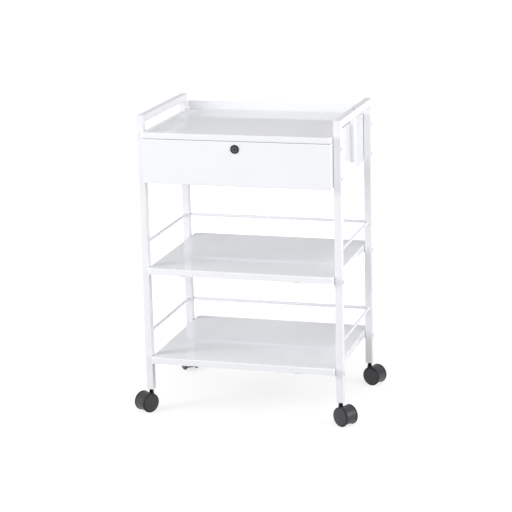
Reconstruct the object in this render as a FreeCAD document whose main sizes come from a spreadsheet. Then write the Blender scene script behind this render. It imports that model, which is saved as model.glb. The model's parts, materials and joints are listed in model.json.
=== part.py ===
import FreeCAD, Part

import math
import os
import re

import Sketcher

# White steel utility trolley: two side frames of square tube, two folded shelves, a top tray over a
# lockable drawer, and four twin-wheel casters. Millimetres, +Z up, the front towards -Y, and the
# origin on the floor under the middle of the frame.

V = FreeCAD.Vector
X_AXIS, Y_AXIS, Z_AXIS = V(1, 0, 0), V(0, 1, 0), V(0, 0, 1)

SIZES = [
    # side frames of square tube
    ("frame_width", 566, "outside, over both side frames"),
    ("frame_depth", 380, "outside, front posts to rear posts"),
    ("frame_height", 776, "end of a post to the top of the rail"),
    ("tube_side", 20, "square tube, outside"),
    ("tube_wall", 1.2, "square tube"),
    ("tube_corner", 1.6, "outside corner radius of the tube"),
    # guard rods round each shelf
    ("rod_diameter", 8, "guard rod"),
    ("rod_lift", 65, "shelf top to the middle of its rods"),
    # shelves, folded down on four sides
    ("upper_shelf_height", 355, "end of a post to the top of the upper shelf"),
    ("lower_shelf_height", 99, "end of a post to the top of the lower shelf"),
    ("sheet", 1, "thickness of all sheet steel"),
    ("side_gap", 1, "thickness of the washers between the frames and what they hold"),
    ("shelf_front_reach", 14, "shelf edge in front of the posts"),
    ("shelf_rear_reach", 30, "shelf edge behind the posts"),
    ("shelf_lip", 18, "depth of the folded edge"),
    ("shelf_bend", 2.6, "outside radius of the fold"),
    ("shelf_corner", 7, "outside radius of a shelf's corners, seen from above"),
    ("tab_width", 24, "bolting tab of a shelf"),
    ("tab_drop", 25, "shelf top to the end of a bolting tab"),
    ("channel_width", 18, "stiffening channel under a shelf"),
    ("channel_flange", 9, "welding flange of the channel"),
    ("channel_drop", 20.5, "shelf top to the bottom of the channel"),
    ("channel_spacing", 320, "between the two channels of a shelf"),
    ("channel_inset", 3, "gap between a channel's end and the folded edge"),
    # bolts through the posts
    ("bolt_diameter", 6, "frame bolt"),
    ("bolt_hole_gap", 0.2, "radial clearance of a bolt in its holes"),
    ("bolt_head_diameter", 10, "low button head"),
    ("bolt_head_height", 1.8, "low button head"),
    ("bolt_head_round", 1.1, "rounded edge of the low button head"),
    ("bolt_socket", 4, "hexagon socket across flats"),
    ("bolt_socket_depth", 2, "hexagon socket"),
    ("bolt_end", 1.2, "bolt end standing out of its nut"),
    ("nut_flats", 10, "frame nut across flats"),
    ("nut_height", 4.5, "frame nut"),
    ("washer_diameter", 12.5, "black spacer washer"),
    ("shelf_bolt_drop", 17.5, "shelf top to its bolts"),
    ("cabinet_bolt_drop", 34, "tray rim to the upper cabinet bolts"),
    ("cabinet_bolt_spacing", 82, "upper to lower cabinet bolts"),
    # top tray
    ("tray_drop", 41.5, "top of the rails to the rim of the tray"),
    ("tray_front_reach", 23, "tray edge in front of the posts"),
    ("tray_rear_reach", 16, "tray edge behind the posts"),
    ("tray_rim", 5, "rim above the tray floor"),
    ("rim_width", 3, "hemmed rim of the tray"),
    ("tray_lip", 16.1, "outside depth of the tray edge"),
    ("tray_bend", 1.3, "outside radius of the rim"),
    ("tray_corner", 8, "outside radius of the tray's front corners, seen from above"),
    ("backsplash_height", 18.5, "rear edge above the rim"),
    ("backsplash_over", 4.5, "end of the rear edge beyond the side of the tray"),
    # cabinet under the tray
    ("seam_gap", 0.3, "seam between the tray edge and a side panel"),
    ("cabinet_lift", 2, "bottom of the cabinet above the bottom of the drawer front"),
    ("cabinet_flange", 12, "inward fold at the bottom of a side panel"),
    ("cabinet_front_gap", 1, "drawer front to the side panels behind it"),
    # drawer
    ("front_gap", 1.2, "tray edge to the drawer front below it"),
    ("drawer_front_height", 122.1, "drawer front"),
    ("drawer_front_thickness", 20, "drawer front"),
    ("drawer_front_bend", 2, "outside radius of its folds"),
    ("drawer_front_flange", 22, "return fold at the back of the drawer front"),
    ("box_height", 85, "drawer box"),
    ("box_depth", 345, "drawer box"),
    ("box_lift", 6, "bottom of the drawer box above the bottom of its front"),
    ("drawer_travel", 265, "how far the drawer opens"),
    ("screw_diameter", 4, "screw between the drawer box and its front"),
    ("screw_head_diameter", 8, "pan head"),
    ("screw_head_height", 2.4, "pan head"),
    ("screw_length", 7, "under the head"),
    ("screw_inset", 5, "drawer box side and bottom to the screws"),
    # roller runners
    ("runner_gap", 12.5, "side panel to the drawer box"),
    ("runner_lift", 29, "bottom of the drawer box to the bottom of its runners"),
    ("runner_height", 26, "channel fixed in the cabinet"),
    ("runner_channel_depth", 10, "channel fixed in the cabinet"),
    ("runner_short", 5, "rear of the drawer box to the end of its runners"),
    ("runner_setback", 7, "front of the posts to the front end of the cabinet members"),
    ("roller_diameter", 20, "runner roller"),
    ("roller_width", 5, "runner roller"),
    ("roller_inset", 3, "side panel to the roller"),
    ("roller_clearance", 0.3, "roller to the tracks above and below it"),
    ("roller_end", 14, "end of a runner member to its roller's pin"),
    ("pin_diameter", 5, "roller pin"),
    ("pin_head_diameter", 8, "roller pin"),
    ("pin_head_height", 1, "roller pin"),
    ("pin_head_gap", 0.2, "side of a roller to the head of its pin"),
    ("running_gap", 0.05, "radial clearance of what turns on a pin, axle or stem"),
    # cam lock
    ("lock_drop", 20.8, "top of the drawer front to the middle of the lock"),
    ("lock_rim_diameter", 24, "lock rim"),
    ("lock_rim_height", 2, "lock rim"),
    ("lock_barrel_diameter", 18, "lock body behind the front"),
    ("lock_barrel_length", 22.4, "lock body behind the front"),
    ("lock_hole_gap", 0.2, "radial clearance of the lock body in its hole"),
    ("plug_diameter", 13, "bore for the key plug"),
    ("plug_recess", 0.5, "key plug behind the face of the rim"),
    ("key_slot_width", 1.6, "keyhole"),
    ("key_slot_height", 7, "keyhole"),
    ("key_slot_depth", 6, "keyhole"),
    ("lock_nut_flats", 23, "lock nut across flats"),
    ("lock_nut_height", 3, "lock nut"),
    ("cam_thickness", 2, "locking cam"),
    ("cam_width", 13, "locking cam"),
    ("cam_reach", 27, "lock axis to the tip of the cam"),
    ("cam_square", 8, "square end of the key plug"),
    ("cam_gap", 0.3, "lock body to the cam"),
    ("plug_rivet", 1.4, "riveted end of the plug behind the cam"),
    ("catch_width", 40, "catch for the cam"),
    ("catch_thickness", 1.5, "catch for the cam"),
    ("catch_flange", 14, "catch for the cam, against the tray"),
    ("catch_gap", 0.5, "catch to the cam behind it"),
    ("catch_clearance", 2, "catch to the drawer front that passes under it"),
    # tube through the right rail for the stem of a lamp
    ("socket_diameter", 15, "lamp socket tube"),
    ("socket_bore", 12.4, "lamp socket tube"),
    ("socket_length", 147, "lamp socket tube"),
    ("socket_gap", 0.05, "radial clearance of the tube in the rail"),
    ("socket_setback", 5, "lamp socket behind the middle of the rail"),
    # twin-wheel casters
    ("caster_height", 62.5, "floor to the end of a post"),
    ("wheel_diameter", 55, "caster wheel"),
    ("caster_width", 42, "over both wheels"),
    ("caster_trail", 18, "swivel axis to the axle"),
    ("wheel_disc", 4.5, "outer disc of a wheel"),
    ("wheel_round", 2, "rounded edges of the outer disc"),
    ("wheel_drum_diameter", 46, "hollow drum behind the disc"),
    ("wheel_drum_wall", 2, "hollow drum behind the disc"),
    ("wheel_drum_inset", 8, "middle of the caster to the drum"),
    ("wheel_hub_diameter", 13, "wheel hub"),
    ("wheel_hub_inset", 4.6, "middle of the caster to the hub"),
    ("hood_gap", 0.5, "hood to the outer discs"),
    ("hood_wall", 1.8, "curved wall of the hood"),
    ("hood_drop", 1, "hood surface below the rim of the wheels"),
    ("hood_floor_gap", 10, "floor to the bottom edge of the hood"),
    ("hood_web", 8, "middle wall of the hood"),
    ("boss_diameter", 14, "hood boss round the stem"),
    ("boss_bottom", 24, "floor to the bottom of the boss"),
    ("boss_top", 51.5, "floor to the top of the boss"),
    ("axle_diameter", 6, "caster axle"),
    ("axle_end_gap", 0.5, "end of the axle to the disc in front of it"),
    ("stem_diameter", 8, "caster stem"),
    ("stem_bottom", 28, "floor to the lower end of the stem"),
    ("stem_top_depth", 30, "stem inside the post"),
    ("collar_diameter", 11.5, "collar between the hood and the post"),
    ("collar_flare", 14, "collar where it meets the post"),
    ("collar_flare_height", 6, "flared part of the collar"),
    ("collar_gap", 0.3, "boss to the collar above it"),
    ("insert_length", 34, "plastic socket in the end of a post"),
    ("insert_gap", 0.1, "insert to the tube round it"),
    ("turn_front_left", -33.3, "degrees, front left caster"),
    ("turn_front_right", 57.7, "degrees, front right caster"),
    ("turn_rear_left", -140, "degrees, rear left caster"),
    ("turn_rear_right", 68.1, "degrees, rear right caster"),
]

# Places worked out from the sizes, each a formula of the second sheet.
PLACES = [
    ("half_width", "frame_width / 2"),
    ("half_depth", "frame_depth / 2"),
    ("rail_top", "caster_height + frame_height"),
    ("inner_half", "half_width - tube_side"),
    ("panel_half", "inner_half - side_gap"),
    ("post_x", "half_width - tube_side / 2"),
    ("post_y", "half_depth - tube_side / 2"),
    ("upper_top", "caster_height + upper_shelf_height"),
    ("lower_top", "caster_height + lower_shelf_height"),
    ("upper_bolts", "upper_top - shelf_bolt_drop"),
    ("lower_bolts", "lower_top - shelf_bolt_drop"),
    ("shelf_depth", "frame_depth + shelf_front_reach + shelf_rear_reach"),
    ("shelf_middle", "(shelf_rear_reach - shelf_front_reach) / 2"),
    ("tray_top", "rail_top - tray_drop"),
    ("tray_floor", "tray_top - tray_rim"),
    ("tray_under", "tray_floor - sheet"),
    ("tray_lip_end", "tray_top - tray_lip"),
    ("tray_depth", "frame_depth + tray_front_reach + tray_rear_reach"),
    ("tray_middle", "(tray_rear_reach - tray_front_reach) / 2"),
    ("tray_rear", "half_depth + tray_rear_reach"),
    ("front_face", "-half_depth - tray_front_reach"),
    ("front_top", "tray_lip_end - front_gap"),
    ("front_bottom", "front_top - drawer_front_height"),
    ("front_back", "front_face + drawer_front_thickness"),
    ("cabinet_bottom", "front_bottom + cabinet_lift"),
    ("cabinet_front", "front_back + cabinet_front_gap"),
    ("cabinet_back", "tray_rear - 2 * sheet"),
    ("cabinet_length", "cabinet_back + sheet - cabinet_front"),
    ("cabinet_middle", "cabinet_front + cabinet_length / 2"),
    ("cabinet_half", "panel_half - sheet"),
    ("cabinet_bolt_top", "tray_top - cabinet_bolt_drop"),
    ("cabinet_bolt_bottom", "cabinet_bolt_top - cabinet_bolt_spacing"),
    ("box_half", "cabinet_half - runner_gap"),
    ("box_bottom", "front_bottom + box_lift"),
    ("runner_bottom", "box_bottom + runner_lift"),
    ("runner_front", "-half_depth + runner_setback"),
    ("runner_length", "box_depth - runner_short"),
    ("roller_height", "sheet + roller_clearance + roller_diameter / 2"),
    ("track_height", "sheet + 2 * roller_clearance + roller_diameter"),
    ("roller_middle", "cabinet_half - roller_inset - roller_width / 2"),
    ("roller_front", "runner_front + roller_end"),
    ("roller_rear", "front_back + runner_length - roller_end"),
    ("lock_height", "front_top - lock_drop"),
    ("cam_face", "front_face + lock_barrel_length + cam_gap"),
    ("axle_height", "wheel_diameter / 2"),
    ("wheel_face", "caster_width / 2"),
    ("hood_half", "wheel_face - wheel_disc - hood_gap"),
    ("hood_radius", "wheel_diameter / 2 - hood_drop"),
    ("bolt_length", "tube_side + side_gap + sheet + nut_height + bolt_end"),
]

doc = FreeCAD.newDocument("utility_trolley")
sizes = doc.addObject("Spreadsheet::Sheet", "sizes")
places = doc.addObject("Spreadsheet::Sheet", "places")
size_names = {name for name, _, _ in SIZES}
place_names = {name for name, _ in PLACES}


def formula(text):
    """Writes each size and place in a formula with the name of its sheet."""

    def with_sheet(match):
        word = match.group(0)
        if word in size_names:
            return "sizes." + word
        return "places." + word if word in place_names else word

    return re.sub(r"[A-Za-z_][A-Za-z_0-9]*", with_sheet, str(text))


def fill_sheets():
    for row, (name, value, meaning) in enumerate(SIZES, start=1):
        sizes.set("A%d" % row, name)
        sizes.set("B%d" % row, str(value))
        sizes.set("C%d" % row, meaning)
        sizes.setAlias("B%d" % row, name)
    doc.recompute()
    for row, (name, text) in enumerate(PLACES, start=1):
        places.set("A%d" % row, name)
        places.setAlias("B%d" % row, name)
        places.set("B%d" % row, "=" + formula(text).replace("places.", ""))
    doc.recompute()


def number(name):
    """The present value of a size or a place."""
    sheet = sizes if name in size_names else places
    return float(sheet.get(name))


def value(text):
    """What a formula comes to at present."""
    return float(places.evalExpression(formula(text)))


def bind(thing, **formulas):
    for path, text in formulas.items():
        thing.setExpression(path, formula(text))
    return thing


def place(thing, x="0", y="0", z="0", axis=None, turn=None):
    """Binds where a sub-part stands and, with an axis, how far it is turned."""
    if axis is not None:
        thing.Placement = FreeCAD.Placement(V(), FreeCAD.Rotation(axis, 1))
        thing.setExpression(".Placement.Rotation.Angle", formula(turn))
    for letter, text in (("x", x), ("y", y), ("z", z)):
        thing.setExpression(".Placement.Base." + letter, formula(text))
    return thing


# Sketches ----------------------------------------------------------------------------------------


def new_body(name):
    body = doc.addObject("PartDesign::Body", name)
    body.Label = name
    return body


def new_sketch(body, role, offset=None):
    """An empty sketch on one of the body's own planes, or at a distance from it."""
    sketch = body.newObject("Sketcher::SketchObject", body.Name + "_sketch")
    own_plane = [item for item in body.Origin.OriginFeatures if item.Role == role][0]
    sketch.AttachmentSupport = [(own_plane, "")]
    sketch.MapMode = "FlatFace"
    if offset is not None:
        sketch.setExpression(".AttachmentOffset.Base.z", formula(offset))
    return sketch


def hold_point(sketch, kind, line, vertex, text):
    """Holds one vertex at a signed distance from the sketch's origin."""
    index = sketch.addConstraint(Sketcher.Constraint(kind, -1, 1, line, vertex, value(text)))
    sketch.renameConstraint(index, "%s_%d" % (kind, index))
    sketch.setExpression("Constraints.%s_%d" % (kind, index), formula(text))


def hold(sketch, line, vertex, across, up):
    hold_point(sketch, "DistanceX", line, vertex, across)
    hold_point(sketch, "DistanceY", line, vertex, up)


def join(sketch, first, second):
    """Makes the end of one line or arc the start of another."""
    sketch.addConstraint(Sketcher.Constraint("Coincident", first, 2, second, 1))


def add_line(sketch, start, end):
    places_of_ends = [V(value(across), value(up), 0) for across, up in (start, end)]
    return sketch.addGeometry(Part.LineSegment(*places_of_ends))


def add_polygon(sketch, corners):
    """A closed outline through corners given as pairs of formulas."""
    following = corners[1:] + corners[:1]
    lines = [add_line(sketch, start, end) for start, end in zip(corners, following)]
    for line, after in zip(lines, lines[1:] + lines[:1]):
        join(sketch, line, after)
    for line, (across, up) in zip(lines, corners):
        hold(sketch, line, 1, across, up)
    return sketch


def add_rectangle(sketch, left, bottom, right, top):
    return add_polygon(sketch, [(left, bottom), (right, bottom), (right, top), (left, top)])


def add_rounded_rectangle(sketch, left, bottom, right, top, radius, upper=True):
    """A rectangle with rounded corners, or with only its two lower ones rounded."""
    inset = "%s + (" + radius + ")"
    outset = "%s - (" + radius + ")"
    high, low = (outset % top, inset % bottom)
    near, far = (inset % left, outset % right)
    lower = add_line(sketch, (near, bottom), (far, bottom))
    hold(sketch, lower, 1, near, bottom)
    hold(sketch, lower, 2, far, bottom)
    if upper:
        rise = add_line(sketch, (right, low), (right, high))
        back = add_line(sketch, (far, top), (near, top))
        fall = add_line(sketch, (left, high), (left, low))
        hold(sketch, rise, 2, right, high)
        hold(sketch, back, 1, far, top)
        hold(sketch, back, 2, near, top)
        hold(sketch, fall, 1, left, high)
        add_corner(sketch, rise, back, (far, high), radius, 0)
        add_corner(sketch, back, fall, (near, high), radius, 90)
    else:
        rise = add_line(sketch, (right, low), (right, top))
        back = add_line(sketch, (right, top), (left, top))
        fall = add_line(sketch, (left, top), (left, low))
        join(sketch, rise, back)
        join(sketch, back, fall)
        hold(sketch, back, 1, right, top)
        hold(sketch, back, 2, left, top)
    hold(sketch, rise, 1, right, low)
    hold(sketch, fall, 2, left, low)
    add_corner(sketch, fall, lower, (near, low), radius, 180)
    add_corner(sketch, lower, rise, (far, low), radius, 270)
    return sketch


def add_corner(sketch, before, after, centre, radius, start_degrees):
    """A quarter circle between the end of one line and the start of the next."""
    across, up = centre
    circle = Part.Circle(V(value(across), value(up), 0), Z_AXIS, value(radius))
    start = math.radians(start_degrees)
    arc = sketch.addGeometry(Part.ArcOfCircle(circle, start, start + math.pi / 2))
    join(sketch, before, arc)
    join(sketch, arc, after)
    hold_point(sketch, "DistanceX", arc, 3, across)


def add_circle(sketch, diameter, across="0", up="0"):
    circle = Part.Circle(V(value(across), value(up), 0), Z_AXIS, value(diameter) / 2)
    index = sketch.addGeometry(circle)
    radius = sketch.addConstraint(Sketcher.Constraint("Diameter", index, value(diameter)))
    sketch.renameConstraint(radius, "diameter_%d" % radius)
    sketch.setExpression("Constraints.diameter_%d" % radius, formula(diameter))
    hold(sketch, index, 3, across, up)
    return sketch


# Features ----------------------------------------------------------------------------------------


def pad(body, sketch, length, reverse=False, both_ways=False):
    feature = body.newObject("PartDesign::Pad", body.Name + "_pad")
    feature.Profile = sketch
    feature.Midplane = both_ways
    feature.Reversed = reverse
    bind(feature, Length=length)
    doc.recompute()
    return feature


def pocket(body, sketch, length=None, reverse=False):
    """Cuts a sketch to a depth, or with no length through everything both ways."""
    before = body.Shape.Volume
    feature = body.newObject("PartDesign::Pocket", body.Name + "_pocket")
    feature.Profile = sketch
    if length is None:
        feature.Type = "ThroughAll"
        feature.Midplane = True
    else:
        feature.Reversed = reverse
        bind(feature, Length=length)
    doc.recompute()
    if body.Shape.Volume > before - 1e-3:
        raise RuntimeError("a pocket of %s cuts nothing" % body.Label)
    return feature


def round_edges(body, radius, wanted):
    """Rounds the edges of the body's tip that the test picks, given the box of its vertices."""
    tip = body.Tip
    bounds = FreeCAD.BoundBox()
    for vertex in tip.Shape.Vertexes:
        bounds.add(vertex.Point)
    names = []
    for index, edge in enumerate(tip.Shape.Edges, start=1):
        if wanted(edge, bounds):
            names.append("Edge%d" % index)
    feature = body.newObject("PartDesign::Fillet", body.Name + "_round")
    feature.Base = (tip, names)
    bind(feature, Radius=radius)
    doc.recompute()
    return feature


def runs_along(edge, axis):
    if len(edge.Vertexes) != 2:
        return False
    step = edge.Vertexes[1].Point - edge.Vertexes[0].Point
    return step.Length > 1e-6 and abs(step.normalize().dot(axis)) > 0.999


def primitive(kind, name, **formulas):
    return bind(doc.addObject("Part::" + kind, name), **formulas)


def cylinder(name, diameter, height, x="0", y="0", z="0", axis=None, turn="90"):
    rod = primitive("Cylinder", name, Radius="(%s) / 2" % diameter, Height=height)
    return place(rod, x, y, z, axis, turn)


def box(name, length, width, height, x="0", y="0", z="0"):
    return place(primitive("Box", name, Length=length, Width=width, Height=height), x, y, z)


def hexagon(name, flats, height, x="0", y="0", z="0", axis=None, turn="90"):
    prism = primitive("Prism", name, Circumradius="(%s) / sqrt(3)" % flats, Height=height)
    prism.Polygon = 6
    return place(prism, x, y, z, axis, turn)


def cut(name, base, *tools):
    for index, tool in enumerate(tools):
        last = index == len(tools) - 1
        result = doc.addObject("Part::Cut", name if last else name + "_cut")
        result.Base, result.Tool = base, tool
        base = result
    doc.recompute()
    return base


def fuse(name, *pieces):
    result = doc.addObject("Part::MultiFuse", name)
    result.Shapes = list(pieces)
    result.Refine = True
    doc.recompute()
    return result


sub_parts = []


def finish(thing, name):
    """Names a sub-part and keeps it for the export."""
    thing.Label = name
    sub_parts.append(thing)
    return thing


def copies(name, master, spots):
    """One node of identical separate solids, each a turn and a place of the master."""
    doc.recompute()
    solids = []
    for position, turn in spots:
        solid = master.Shape.copy()
        solid.Placement = FreeCAD.Placement(position, turn).multiply(solid.Placement)
        solids.append(solid)
    group = doc.addObject("Part::Feature", name)
    group.Shape = Part.makeCompound(solids)
    return finish(group, name)


# Side frames -------------------------------------------------------------------------------------

SIDES = (("left", -1), ("right", 1))
ENDS = (("front", -1), ("rear", 1))


BOLT_HEIGHTS = ("upper_bolts", "lower_bolts", "cabinet_bolt_top", "cabinet_bolt_bottom")


def square_tube(name, role, length, both_ways):
    """Hollow square tube with rounded corners, along the normal of one plane."""
    body = new_body(name)
    half, bore = "tube_side / 2", "(tube_side / 2 - tube_wall)"
    outline = add_rectangle(new_sketch(body, role), "-" + half, "-" + half, half, half)
    pad(body, outline, length, both_ways=both_ways)
    along = Y_AXIS if role == "XZ_Plane" else Z_AXIS
    round_edges(body, "tube_corner", lambda edge, bounds: runs_along(edge, along))
    pocket(body, add_rectangle(new_sketch(body, role), "-" + bore, "-" + bore, bore, bore))
    return body


def make_posts():
    for end, toward in ENDS:
        for side, across in SIDES:
            name = "%s_%s_post" % (side, end)
            body = square_tube(name, "XY_Plane", "frame_height", both_ways=False)
            mitre = new_sketch(body, "YZ_Plane")
            half = "tube_side / 2"
            corners = [("-" + half, "frame_height"), (half, "frame_height")]
            corners.append((half, "frame_height - tube_side"))
            pocket(body, add_polygon(mitre, corners))
            holes = new_sketch(body, "YZ_Plane")
            for height in BOLT_HEIGHTS:
                add_circle(holes, "bolt_diameter + 2 * bolt_hole_gap", "0", height + " - caster_height")
            pocket(body, holes)
            turn = "0" if end == "front" else "180"
            place(body, "%d * post_x" % across, "%d * post_y" % toward, "caster_height", Z_AXIS, turn)
            finish(body, name)


def make_rails():
    for side, across in SIDES:
        name = side + "_top_rail"
        body = square_tube(name, "XZ_Plane", "frame_depth", both_ways=True)
        mitres = new_sketch(body, "YZ_Plane")
        half = "tube_side / 2"
        for sign in ("-", ""):
            end, start = sign + "half_depth", "%s(half_depth - tube_side)" % sign
            add_polygon(mitres, [(end, "-" + half), (end, half), (start, "-" + half)])
        pocket(body, mitres)
        if side == "right":
            diameter = "socket_diameter + 2 * socket_gap"
            hole = add_circle(new_sketch(body, "XY_Plane"), diameter, "0", "socket_setback")
            pocket(body, hole)
        place(body, "%d * post_x" % across, "0", "rail_top - tube_side / 2")
        finish(body, name)


def make_rods():
    for level in ("upper", "lower"):
        height = level + "_top + rod_lift"
        for side, across in SIDES:
            name = "%s_%s_rod" % (level, side)
            length = "frame_depth - 2 * tube_side"
            start = "half_depth - tube_side"
            x = "%d * post_x" % across
            finish(cylinder(name, "rod_diameter", length, x, start, height, X_AXIS), name)
        name = level + "_back_rod"
        back = cylinder(name, "rod_diameter", "2 * inner_half", "-inner_half", "post_y", height, Y_AXIS)
        finish(back, name)


def make_lamp_socket():
    outer = cylinder("socket_tube", "socket_diameter", "socket_length")
    bore = cylinder("socket_hole", "socket_bore", "socket_length")
    tube = cut("lamp_socket", outer, bore)
    finish(place(tube, "post_x", "socket_setback", "rail_top - socket_length"), "lamp_socket")


# Shelves -----------------------------------------------------------------------------------------


def make_shelf(level):
    """Sheet folded down on four sides, with a bolting tab below the fold at each post."""
    name = level + "_shelf"
    body = new_body(name)
    half_depth = "(shelf_depth / 2)"
    outline = new_sketch(body, "XY_Plane")
    corners = ("-panel_half", "-" + half_depth, "panel_half", half_depth)
    add_rounded_rectangle(outline, *corners, "shelf_corner")
    pad(body, outline, "shelf_lip", reverse=True)
    round_edges(body, "shelf_bend", lambda edge, bounds: edge.BoundBox.ZMin > bounds.ZMax - 1e-3)
    inside = new_sketch(body, "XY_Plane", "-shelf_lip")
    wall = "(shelf_depth / 2 - sheet)"
    corners = ("-cabinet_half", "-" + wall, "cabinet_half", wall)
    add_rounded_rectangle(inside, *corners, "shelf_corner - sheet")
    pocket(body, inside, "shelf_lip - sheet", reverse=True)
    tabs = new_sketch(body, "XY_Plane", "-shelf_lip")
    holes = new_sketch(body, "YZ_Plane")
    for _, toward in ENDS:
        middle = "(%d * post_y - shelf_middle)" % toward
        low, high = middle + " - tab_width / 2", middle + " + tab_width / 2"
        add_rectangle(tabs, "-panel_half", low, "-cabinet_half", high)
        add_rectangle(tabs, "cabinet_half", low, "panel_half", high)
        add_circle(holes, "bolt_diameter + 2 * bolt_hole_gap", middle, "-shelf_bolt_drop")
    pad(body, tabs, "tab_drop - shelf_lip", reverse=True)
    pocket(body, holes)
    place(body, "0", "shelf_middle", level + "_top")
    finish(body, name)


def make_channels(level):
    """Two hat-section channels under a shelf, as one node of two solids."""
    half, flange = "(channel_width / 2)", "(channel_width / 2 + channel_flange)"
    inner = "(channel_width / 2 - sheet)"
    bodies = []
    for side, across in SIDES:
        body = new_body("%s_channel_%s" % (level, side))
        outline = new_sketch(body, "XZ_Plane")
        right = [
            (flange, "-sheet"),
            (flange, "-2 * sheet"),
            (half, "-2 * sheet"),
            (half, "-channel_drop"),
        ]
        left = [("-" + across_text, up) for across_text, up in reversed(right)]
        inner_left = [("-" + inner, "sheet - channel_drop"), ("-" + inner, "-sheet")]
        inner_right = [(inner, "-sheet"), (inner, "sheet - channel_drop")]
        add_polygon(outline, right + left + inner_left + list(reversed(inner_right)))
        pad(body, outline, "shelf_depth - 2 * sheet - 2 * channel_inset", both_ways=True)
        place(body, "%d * channel_spacing / 2" % across, "shelf_middle", level + "_top")
        bodies.append(body)
    group = doc.addObject("Part::Compound", level + "_shelf_channels")
    group.Links = bodies
    doc.recompute()
    finish(group, level + "_shelf_channels")


# Fasteners of the frame --------------------------------------------------------------------------


def frame_bolt_spots(x_outside):
    """Position and turn of each copy, the master lying on +Z and pointing inwards."""
    spots = []
    for _, across in SIDES:
        inward = FreeCAD.Rotation(Z_AXIS, V(-across, 0, 0))
        for _, toward in ENDS:
            for height in BOLT_HEIGHTS:
                spot = V(across * x_outside, toward * number("post_y"), number(height))
                spots.append((spot, inward))
    return spots


def make_frame_fasteners():
    head = cylinder("bolt_head", "bolt_head_diameter", "bolt_head_height", z="-bolt_head_height")
    dome = doc.addObject("Part::Fillet", "bolt_dome")
    dome.Base = head
    doc.recompute()
    radius = number("bolt_head_round")
    dome.Edges = [
        (index, radius, radius)
        for index, edge in enumerate(head.Shape.Edges, start=1)
        if len(edge.Vertexes) == 1 and edge.BoundBox.ZMax < -radius
    ]
    shank = cylinder("bolt_shank", "bolt_diameter", "bolt_length")
    blank = fuse("bolt_blank", dome, shank)
    socket = hexagon("bolt_socket_cut", "bolt_socket", "bolt_socket_depth", z="-bolt_head_height")
    bolt = cut("bolt_master", blank, socket)
    copies("frame_bolts", bolt, frame_bolt_spots(number("half_width")))

    hole = "bolt_diameter"
    nut_blank = hexagon("nut_blank", "nut_flats", "nut_height")
    nut = cut("nut_master", nut_blank, cylinder("nut_hole", hole, "nut_height"))
    copies("frame_nuts", nut, frame_bolt_spots(number("cabinet_half")))

    hole = "bolt_diameter + 2 * bolt_hole_gap"
    washer_blank = cylinder("washer_blank", "washer_diameter", "side_gap")
    washer = cut("washer_master", washer_blank, cylinder("washer_hole", hole, "side_gap"))
    copies("frame_washers", washer, frame_bolt_spots(number("inner_half")))


# Tray and cabinet --------------------------------------------------------------------------------


def make_tray():
    """Sheet tray with a hemmed rim, a taller and wider rear edge, and an edge folded down."""
    body = new_body("top_tray")
    half = "(tray_depth / 2)"
    outline = new_sketch(body, "XY_Plane")
    add_rectangle(outline, "-panel_half", "-" + half, "panel_half", half)
    pad(body, outline, "tray_lip", reverse=True)
    splash = new_sketch(body, "XY_Plane")
    add_rectangle(splash, "-panel_half", half + " - rim_width", "panel_half", half)
    pad(body, splash, "backsplash_height")

    def front_corner(edge, bounds):
        return runs_along(edge, Z_AXIS) and edge.BoundBox.YMax < bounds.YMin + 1e-3

    round_edges(body, "tray_corner", front_corner)
    top = new_sketch(body, "XY_Plane")
    rim = "(panel_half - rim_width)"
    corners = ("-" + rim, "rim_width - " + half, rim, half + " - rim_width")
    add_rounded_rectangle(top, *corners, "tray_corner - rim_width", upper=False)
    pocket(body, top, "tray_rim")

    def outer_rim(edge, bounds):
        box_of_edge = edge.BoundBox
        level = abs(box_of_edge.ZMax) < 1e-3 and abs(box_of_edge.ZMin) < 1e-3
        across = box_of_edge.XMax > bounds.XMax - 1e-3 or box_of_edge.XMin < bounds.XMin + 1e-3
        return level and (across or box_of_edge.YMax < bounds.YMin + 1e-3)

    round_edges(body, "tray_bend", outer_rim)
    under = new_sketch(body, "XY_Plane", "-tray_lip")
    wall = "(tray_depth / 2 - sheet)"
    corners = ("-cabinet_half", "-" + wall, "cabinet_half", wall)
    add_rounded_rectangle(under, *corners, "tray_corner - sheet", upper=False)
    pocket(body, under, "tray_lip - tray_rim - sheet", reverse=True)
    ends = new_sketch(body, "XY_Plane")
    end, rear = "(panel_half + backsplash_over)", half + " - rim_width"
    add_rectangle(ends, "-" + end, rear, "-cabinet_half", half)
    add_rectangle(ends, "cabinet_half", rear, end, half)
    pad(body, ends, "backsplash_height")
    place(body, "0", "tray_middle", "tray_top")
    finish(body, "top_tray")


def make_cabinet_sides():
    """Side panels, joggled up inside the tray's edge and folded inwards at the bottom."""
    top, bottom = "(tray_lip_end - seam_gap)", "cabinet_bottom"
    tongue = "(panel_half - 2 * sheet)"
    corners = [
        ("panel_half", bottom),
        ("panel_half", top),
        ("cabinet_half", top),
        ("cabinet_half", "tray_under"),
        (tongue, "tray_under"),
        (tongue, top + " - sheet"),
        ("cabinet_half", top + " - 2 * sheet"),
        ("cabinet_half", bottom + " + sheet"),
        ("panel_half - cabinet_flange", bottom + " + sheet"),
        ("panel_half - cabinet_flange", bottom),
    ]
    for side, across in SIDES:
        name = "cabinet_%s_side" % side
        body = new_body(name)
        outline = new_sketch(body, "XZ_Plane")
        mirrored = [("%d * (%s)" % (across, x), up) for x, up in corners]
        add_polygon(outline, mirrored)
        pad(body, outline, "cabinet_length", both_ways=True)
        holes = new_sketch(body, "YZ_Plane")
        for _, toward in ENDS:
            for height in ("cabinet_bolt_top", "cabinet_bolt_bottom"):
                middle = "%d * post_y - cabinet_middle" % toward
                add_circle(holes, "bolt_diameter + 2 * bolt_hole_gap", middle, height)
        pocket(body, holes)
        place(body, "0", "cabinet_middle", "0")
        finish(body, name)


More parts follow.
